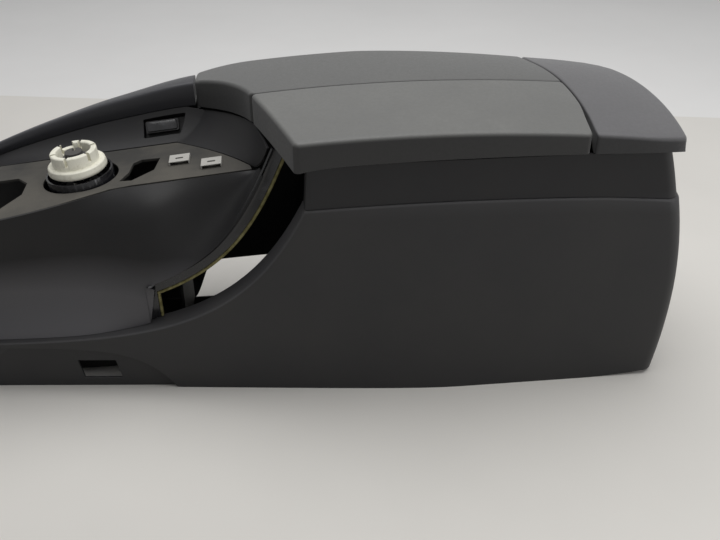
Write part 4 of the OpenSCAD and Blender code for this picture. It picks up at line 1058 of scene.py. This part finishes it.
@dataclass
class Armrest:
    """The two lids, the rear cap and the rail that carries on in front of the far lid."""

    finishes: Finishes
    rail_in: float = 80.0
    rail_out: float = 112.0

    def build(self) -> None:
        """Build the covers and the rail."""
        g = FORM.lid_gap
        edges, turns = (4, 2.4, 2, 4), (4.5, 5, 3.2, 4.2)
        near = Cover("lid_cover_near", FORM.lid_front, FORM.lid_rear, -g / 2, -FORM.lid_half,
                     FORM.lid_low, edges, turns, (44, 18), turns, False, True)
        far = Cover("lid_cover_far", FORM.far_lid_front, FORM.lid_rear, g / 2, FORM.lid_half,
                    FORM.lid_low, edges, turns, (48, 22), turns, False, True)
        cap = Cover("cap_cover_rear", FORM.cap_joint, FORM.cap_rear, -FORM.lid_half, FORM.lid_half,
                    lambda x, y: FORM.skirt(x), (2.4, 5, 4, 4), (4.2, 4.2, 14, 45), (14, 34),
                    (4.2, 4.2, 8, 30), True, False)
        self.cover(near, "near_lid", "near_lid_cover", self.finishes.lid)
        self.cover(far, "far_lid", "far_lid_cover", self.finishes.far_lid)
        self.cover(cap, "console", "cap_cover", self.finishes.cap)
        self.rail()

    def cover(self, cover: Cover, body: str, node: str, finish: bpy.types.Material) -> None:
        """Make one padded cover that replaces a CAD node."""
        obj = Maker.piece(cover.build(), cover.name, finish, Slot.LEATHER, body, [node],
                          wall=cover.wall, edge=1.2, sharp=60, rounds=3)

    def rail(self) -> None:
        """Build the padded far rail as one closed roll."""
        end = FORM.rail_rear - FORM.lid_gap / 2

        def loop(x: float) -> list[tuple[float, float, float]]:
            """Return the rail's section at x."""
            lo, zi, zo, r = FORM.rail_low(x), FORM.rail_inner(x), FORM.rail_outer(x), FORM.rail_r
            pts = [(self.rail_in, lo), (self.rail_in - 0.7, lerp(lo, zi, 0.3)),
                   (self.rail_in - 0.9, lerp(lo, zi, 0.6)), (self.rail_in, zi - r)]
            pts += [(self.rail_in + r * (1 - math.cos(a)), zi - r + r * math.sin(a))
                    for a in (math.radians(22.5 * i) for i in range(1, 5))]
            pts += [(lerp(self.rail_in + r, self.rail_out - r, t),
                     lerp(zi, zo, t) + 1.5 * 4 * t * (1 - t)) for t in (0.2, 0.4, 0.6, 0.8)]
            pts += [(self.rail_out - r + r * math.sin(a), zo - r + r * math.cos(a))
                    for a in (math.radians(22.5 * i) for i in range(5))]
            pts += [(self.rail_out, FORM.rail_under(x)),
                    ((self.rail_in + self.rail_out) / 2, (FORM.rail_under(x) + lo) / 2), (self.rail_in, lo)]
            return [(x, y, z) for y, z in pts]

        rows = [loop(x) for x in spread(FORM.front_x, end, 46)]
        bm = Maker.grid(46, len(rows[0]) - 1, lambda i, j: rows[i][j])
        Maker.close(bm)
        obj = Maker.piece(bm, "rail_cover", self.finishes.rail, Slot.LEATHER, "console", ["far_rail"],
                          edge=1.0, sharp=50, rounds=3)


@dataclass
class FrontWell:
    """Knee panel, inner wall, trim ledge and soft edge strip round the front deck."""

    finishes: Finishes
    slot_width: float = 44.0
    ledge_width: float = 13.0
    ledge_drop: float = 7.0
    ledge_seat: float = 0.5
    ledge_wall: float = 2.0
    seal_width: float = 3.0
    seal_depth: float = 4.0
    knee_wall: float = 2.5
    knee_smoothing: int = 40
    slot_end_x: float = -262.0
    slot_rise: tuple[float, ...] = (8.0, 16.0, 24.0)
    deck_tip: float = -141.0
    deck_far: float = 56.0
    wall_t: float = 2.5
    wall_clear: float = 3.0
    pocket: tuple[float, float, float] = (-264.0, -216.0, -228.0)
    pocket_depth: float = 7.0

    def sweep_offset(self, x: float, w: float) -> tuple[float, float]:
        """Return the point a width w above the sweep line at x."""
        t = math.atan(FORM.sweep_slope(x))
        return x - w * math.sin(t), FORM.sweep_z(x) + w * math.cos(t)

    def slot_path(self, w: float, n: int = 36) -> list[tuple[float, float]]:
        """Return the slot's curve in X and Z, moved up from the sweep by w."""
        xe = self.slot_end_x + (self.slot_width - w) * 0.85
        base = xe + 0.31 * w
        c = self.sweep_offset(base, w)
        path = [(lerp(xe, c[0], t), lerp(FORM.sweep_z(xe) + 1, c[1], t))
                for t in (0, 0.2, 0.4, 0.6, 0.8)]
        path += [self.sweep_offset(x, w) for x in spread(base, FORM.trim_corner, n)]
        ex, ez = self.sweep_offset(FORM.trim_corner, w)
        return path + [(ex + 0.5 * e, ez + e) for e in self.slot_rise]

    @staticmethod
    def slot_y(z: float) -> float:
        """Return the Y of the slot's edge at height z."""
        return -80 + 16 * (max(0.0, z - 170) / 92) ** 1.3

    def slot_row(self, w: float, dy: float) -> list[tuple[float, float, float]]:
        """Return the slot's curve at width w, moved inward by dy."""
        return [(x, self.slot_y(z) + dy, z) for x, z in self.slot_path(w)]

    def knee(self) -> None:
        """Build the scooped knee panel."""
        arm = 30
        path = self.slot_path(self.slot_width, 40)[:-len(self.slot_rise)]
        low = [(x, -(FORM.half(x, FORM.sweep_z(x), Side.NEAR) - 7 - 5 * ease((x + 340) / 78)),
                FORM.sweep_z(x) + FORM.gap) for x in spread(FORM.front_x, self.slot_end_x, arm)[:-1]]
        low += [(x, self.slot_y(z), z) for i, (x, z) in enumerate(path) if i == 0 or i > 4]
        rows = 34

        def top_x(i: int) -> float:
            """Return the X of the upper edge over low point i."""
            if i < arm:
                return low[i][0]
            if i == arm:
                return self.slot_end_x - 8
            return lerp(self.slot_end_x, self.deck_tip, ((i - arm - 1) / (len(low) - arm - 2)) ** 0.9)

        def place(i: int, j: int) -> tuple[float, float, float]:
            """Return the point of line pair (i, j)."""
            b, x, v = low[i], top_x(i), j / rows
            t = (x, FORM.deck_near(x), FORM.deck_at(x))
            w = bump_at(b[0] + 256, 45)
            c = lerp(12 + 8 * ease((-250 - x) / 150), 0.5, w)
            bend = lerp(1, 0.2, w)
            return (lerp(t[0], b[0], v), lerp(t[1], b[1], v ** bend) + c * 6.75 * v * v * (1 - v),
                    lerp(t[2], b[2], v))

        bm = Maker.grid(len(low) - 1, rows, place)
        inside = [v for v in bm.verts if not v.is_boundary]
        for _ in range(self.knee_smoothing):
            bmesh.ops.smooth_vert(bm, verts=inside, factor=0.5, use_axis_x=True, use_axis_y=True,
                                  use_axis_z=True)
        Maker.face_out(bm, (-300, 60, 0))
        Maker.piece(bm, "knee_skin", self.finishes.knee, Slot.PLASTIC, "console", ["knee_panel"],
                    wall=self.knee_wall, edge=0.7, sharp=50)

    def wall(self) -> None:
        """Build the inner wall with the key pocket."""
        p0, p1, foot = self.pocket
        side = spread(FORM.front_x, p0, 20)[:-1] + [p0, p0 + 1.5, -252, -240, -229, p1 - 1.5, p1]
        turn = 24
        lows, highs = [], []
        for x in side:
            xl = min(x, foot + (x - p1) * 0.3)
            lows.append((xl, self.deck_far, FORM.deck_at(xl)))
            highs.append((x, 79.5, FORM.rail_low(x) - FORM.gap))
        for i in range(turn + 1):
            t = i / turn
            y = lerp(54, -32.6, t ** 1.1)
            x = FORM.deck_rear(y)
            lows.append((x, y, FORM.deck_at(x)))
            yt = lerp(77, -55.5, t ** 1.25)
            highs.append((FORM.lid_front(yt) + 3 + 9 * min(0, yt) / 62, yt,
                          FORM.lid_front_low(yt) - self.wall_clear))
        rows = [0, .08, .16, .26, .3, .4, .5, .6, .7, .8, .84, .92, 1]

        def place(i: int, j: int) -> Vector:
            """Return the point of line pair (i, j)."""
            a, b, v = Vector(lows[i]), Vector(highs[i]), rows[j]
            w = b - a
            h = math.hypot(w.x, w.y)
            back = Vector((w.x * w.z / h, w.y * w.z / h, -h)) / w.length
            held = i < len(side) and p0 + 1 < side[i] < p1 - 1 and 0.28 < v < 0.82
            point = a.lerp(b, v) + back * (12 * v * (1 - v))
            return point + (Vector((0, 0.76, -0.65)) * self.pocket_depth if held else Vector())

        bm = Maker.grid(len(lows) - 1, len(rows) - 1, place)
        Maker.face_out(bm, (-330, 130, 150))
        Maker.piece(bm, "inner_wall_skin", self.finishes.wall, Slot.PLASTIC, "console",
                    ["inner_wall"], wall=self.wall_t, edge=0.8, sharp=38)

    def ledge(self) -> None:
        """Build the glossy ledge along the slot and the soft strip on its free edge."""
        inner = self.slot_width - self.ledge_width
        outer = [self.slot_row(self.slot_width - 0.7, self.knee_wall + self.ledge_seat),
                 self.slot_row(self.slot_width - 1.3, self.ledge_drop - 1.0),
                 self.slot_row(self.slot_width - 2.4, self.ledge_drop),
                 self.slot_row(lerp(self.slot_width, inner, 0.5), self.ledge_drop + 0.3),
                 self.slot_row(inner, self.ledge_drop)]
        bm = Maker.grid(len(outer[0]) - 1, len(outer) - 1, lambda i, j: outer[j][i])
        Maker.face_out(bm, (-200, 60, 200))
        Maker.piece(bm, "ledge_gloss", self.finishes.gloss, Slot.GLOSS, "console", ["trim_ledge"],
                    wall=self.ledge_wall, edge=0.4, sharp=50)
        w0, w1 = inner - 0.3, inner - 0.3 - self.seal_width
        d0, d1 = self.ledge_drop - 0.8, self.ledge_drop + self.seal_depth
        ring = [self.slot_row(w, d) for w, d in (
            (w0, d0 + 0.6), (w0 - 0.6, d0), (w1 + 0.6, d0), (w1, d0 + 0.6),
            (w1, d1), (w0, d1), (w0, d0 + 0.6))]
        bm = Maker.grid(len(ring[0]) - 1, len(ring) - 1, lambda i, j: ring[j][i])
        Maker.close(bm)
        Maker.piece(bm, "edge_strip", self.finishes.olive, Slot.OLIVE, "console", ["ledge_seal"],
                    edge=0.3, sharp=50)

    def build(self) -> None:
        """Build the well's pieces."""
        self.knee()
        self.wall()
        self.ledge()


@dataclass
class Mechanism:
    """CAD nodes whose shape is right and that only need a finish."""

    finishes: Finishes

    def build(self) -> None:
        """Dress each node."""
        f = self.finishes
        table: dict[str, tuple[bpy.types.Material, float]] = {
            "foot_strip": (f.panel, 0.5), "deck_panel": (f.deck, 0.5), "deck_clips": (f.clip, 0.25),
            "storage_bin": (f.inner, 0.6), "bin_mat": (f.rubber, 0.3), "lid_buffers": (f.rubber, 0),
            "carrier_frame": (f.inner, 0.4), "carrier_ribs": (f.inner, 0.4),
            "floor_brackets": (f.zinc, 0.3), "frame_screws": (f.zinc, 0.2),
            "cap_base": (f.inner, 0.4), "near_lid_liner": (f.inner, 0.4),
            "far_lid_liner": (f.inner, 0.4), "near_lid_leaves": (f.zinc, 0.2),
            "far_lid_leaves": (f.zinc, 0.2), "near_lid_catch": (f.zinc, 0.15),
            "far_lid_catch": (f.zinc, 0.15), "hinge_brackets": (f.zinc, 0.2),
            "hinge_pins": (f.zinc, 0), "hinge_springs": (f.zinc, 0), "catch_studs": (f.zinc, 0),
            "key_tray": (f.wall, 0.2), "key_springs": (f.zinc, 0), "release_key": (f.gloss, 0.5),
            "controller_cup": (f.gloss, 0.4), "gimbal_ring": (f.gloss, 0.2),
            "gimbal_cradle": (f.inner, 0.2), "press_spring": (f.zinc, 0),
            "controller_plunger": (f.gloss, 0.2), "controller_hub": (f.cream, 0.4),
            "controller_core": (f.core, 0.4),
        }
        for node, (finish, edge) in table.items():
            Maker.dress(node, finish, edge)


@dataclass
class Studio:
    """Two floor sheets, soft lamps and the camera at the photograph's place."""

    camera_at: tuple[float, float, float] = (-0.1173, -0.8135, 0.6217)
    camera_turn: tuple[float, float, float] = (56.67, 0.0, -5.94)
    lens: float = 42.5
    seam_y: float = 0.69
    seam_turn: float = -10.5
    reach: float = 3.0
    air_light: float = 0.24

    def build(self) -> None:
        """Build the stage, the lamps, the world and the camera."""
        self.stage()
        self.lamp("key_overhead", (0.15, 0.15, 1.9), (0.05, 0.0, 0.2), 2.4, 1.5, 32)
        self.lamp("rear_side", (1.7, -1.1, 0.8), (0.2, -0.1, 0.2), 1.0, 0.9, 7)
        self.world()
        self.camera()

    def stage(self) -> None:
        """Build the pale sheet under the console and the greyer one behind it."""
        near = Backdrop("floor_sheet", srgb(226, 223, 217)).build()
        far = Backdrop("far_sheet", srgb(236, 235, 233)).build()
        for name, mat, side in (("floor", near, -1), ("far_floor", far, 1)):
            bm = bmesh.new()
            bmesh.ops.create_grid(bm, x_segments=2, y_segments=2, size=self.reach)
            bmesh.ops.translate(bm, verts=bm.verts[:], vec=(0, self.seam_y + side * self.reach, 0))
            bmesh.ops.rotate(bm, verts=bm.verts[:], cent=(0, self.seam_y, 0),
                             matrix=Matrix.Rotation(math.radians(self.seam_turn), 3, "Z"))
            mesh = bpy.data.meshes.new(name)
            bm.to_mesh(mesh)
            bm.free()
            mesh.materials.append(mat)
            obj = bpy.data.objects.new(name, mesh)
            bpy.context.scene.collection.objects.link(obj)

    def lamp(self, name: str, at: Sequence[float], to: Sequence[float], wide: float, deep: float,
             power: float) -> None:
        """Add a rectangular soft lamp.

        Args:
            name: name of the lamp.
            at: its place.
            to: the point it looks at.
            wide: its width.
            deep: its depth.
            power: its power in watts.
        """
        data = bpy.data.lights.new(name, "AREA")
        data.shape, data.size, data.size_y, data.energy = "RECTANGLE", wide, deep, power
        obj = bpy.data.objects.new(name, data)
        obj.location = at
        obj.rotation_euler = (Vector(to) - Vector(at)).to_track_quat("-Z", "Y").to_euler()
        bpy.context.scene.collection.objects.link(obj)

    def world(self) -> None:
        """Set an even world that looks pale wherever it is seen or mirrored."""
        world = bpy.data.worlds.new("studio_air")
        world.use_nodes = True
        nodes, links = world.node_tree.nodes, world.node_tree.links
        air = nodes["Background"]
        air.inputs[0].default_value = (0.86, 0.87, 0.9, 1)
        air.inputs[1].default_value = self.air_light
        shown = nodes.new("ShaderNodeBackground")
        shown.inputs[0].default_value = (0.62, 0.62, 0.61, 1)
        rays = nodes.new("ShaderNodeLightPath")
        seen = rays.outputs["Is Camera Ray"]
        for other in ("Is Glossy Ray", "Is Transmission Ray"):
            either = nodes.new("ShaderNodeMath")
            either.operation = "MAXIMUM"
            links.new(seen, either.inputs[0])
            links.new(rays.outputs[other], either.inputs[1])
            seen = either.outputs[0]
        choice = nodes.new("ShaderNodeMixShader")
        links.new(seen, choice.inputs[0])
        links.new(air.outputs[0], choice.inputs[1])
        links.new(shown.outputs[0], choice.inputs[2])
        links.new(choice.outputs[0], nodes["World Output"].inputs["Surface"])
        bpy.context.scene.world = world

    def camera(self) -> None:
        """Add the camera."""
        data = bpy.data.cameras.new("camera")
        data.lens, data.sensor_width, data.sensor_fit = self.lens, 36.0, "HORIZONTAL"
        data.clip_start, data.clip_end = 0.01, 50.0
        obj = bpy.data.objects.new("camera", data)
        obj.location = self.camera_at
        obj.rotation_euler = tuple(math.radians(a) for a in self.camera_turn)
        bpy.context.scene.collection.objects.link(obj)
        bpy.context.scene.camera = obj


def main() -> None:
    """Build the console's looks in order."""
    logging.basicConfig(level=logging.INFO, format="%(name)s: %(message)s")
    bpy.context.scene.view_settings.view_transform = "Standard"
    finishes = Finishes()
    for part in (SidePanels(finishes), UpperBand(finishes), Armrest(finishes),
                 FrontWell(finishes), Mechanism(finishes)):
        part.build()
    Studio().build()


if __name__ == "__main__":
    main()
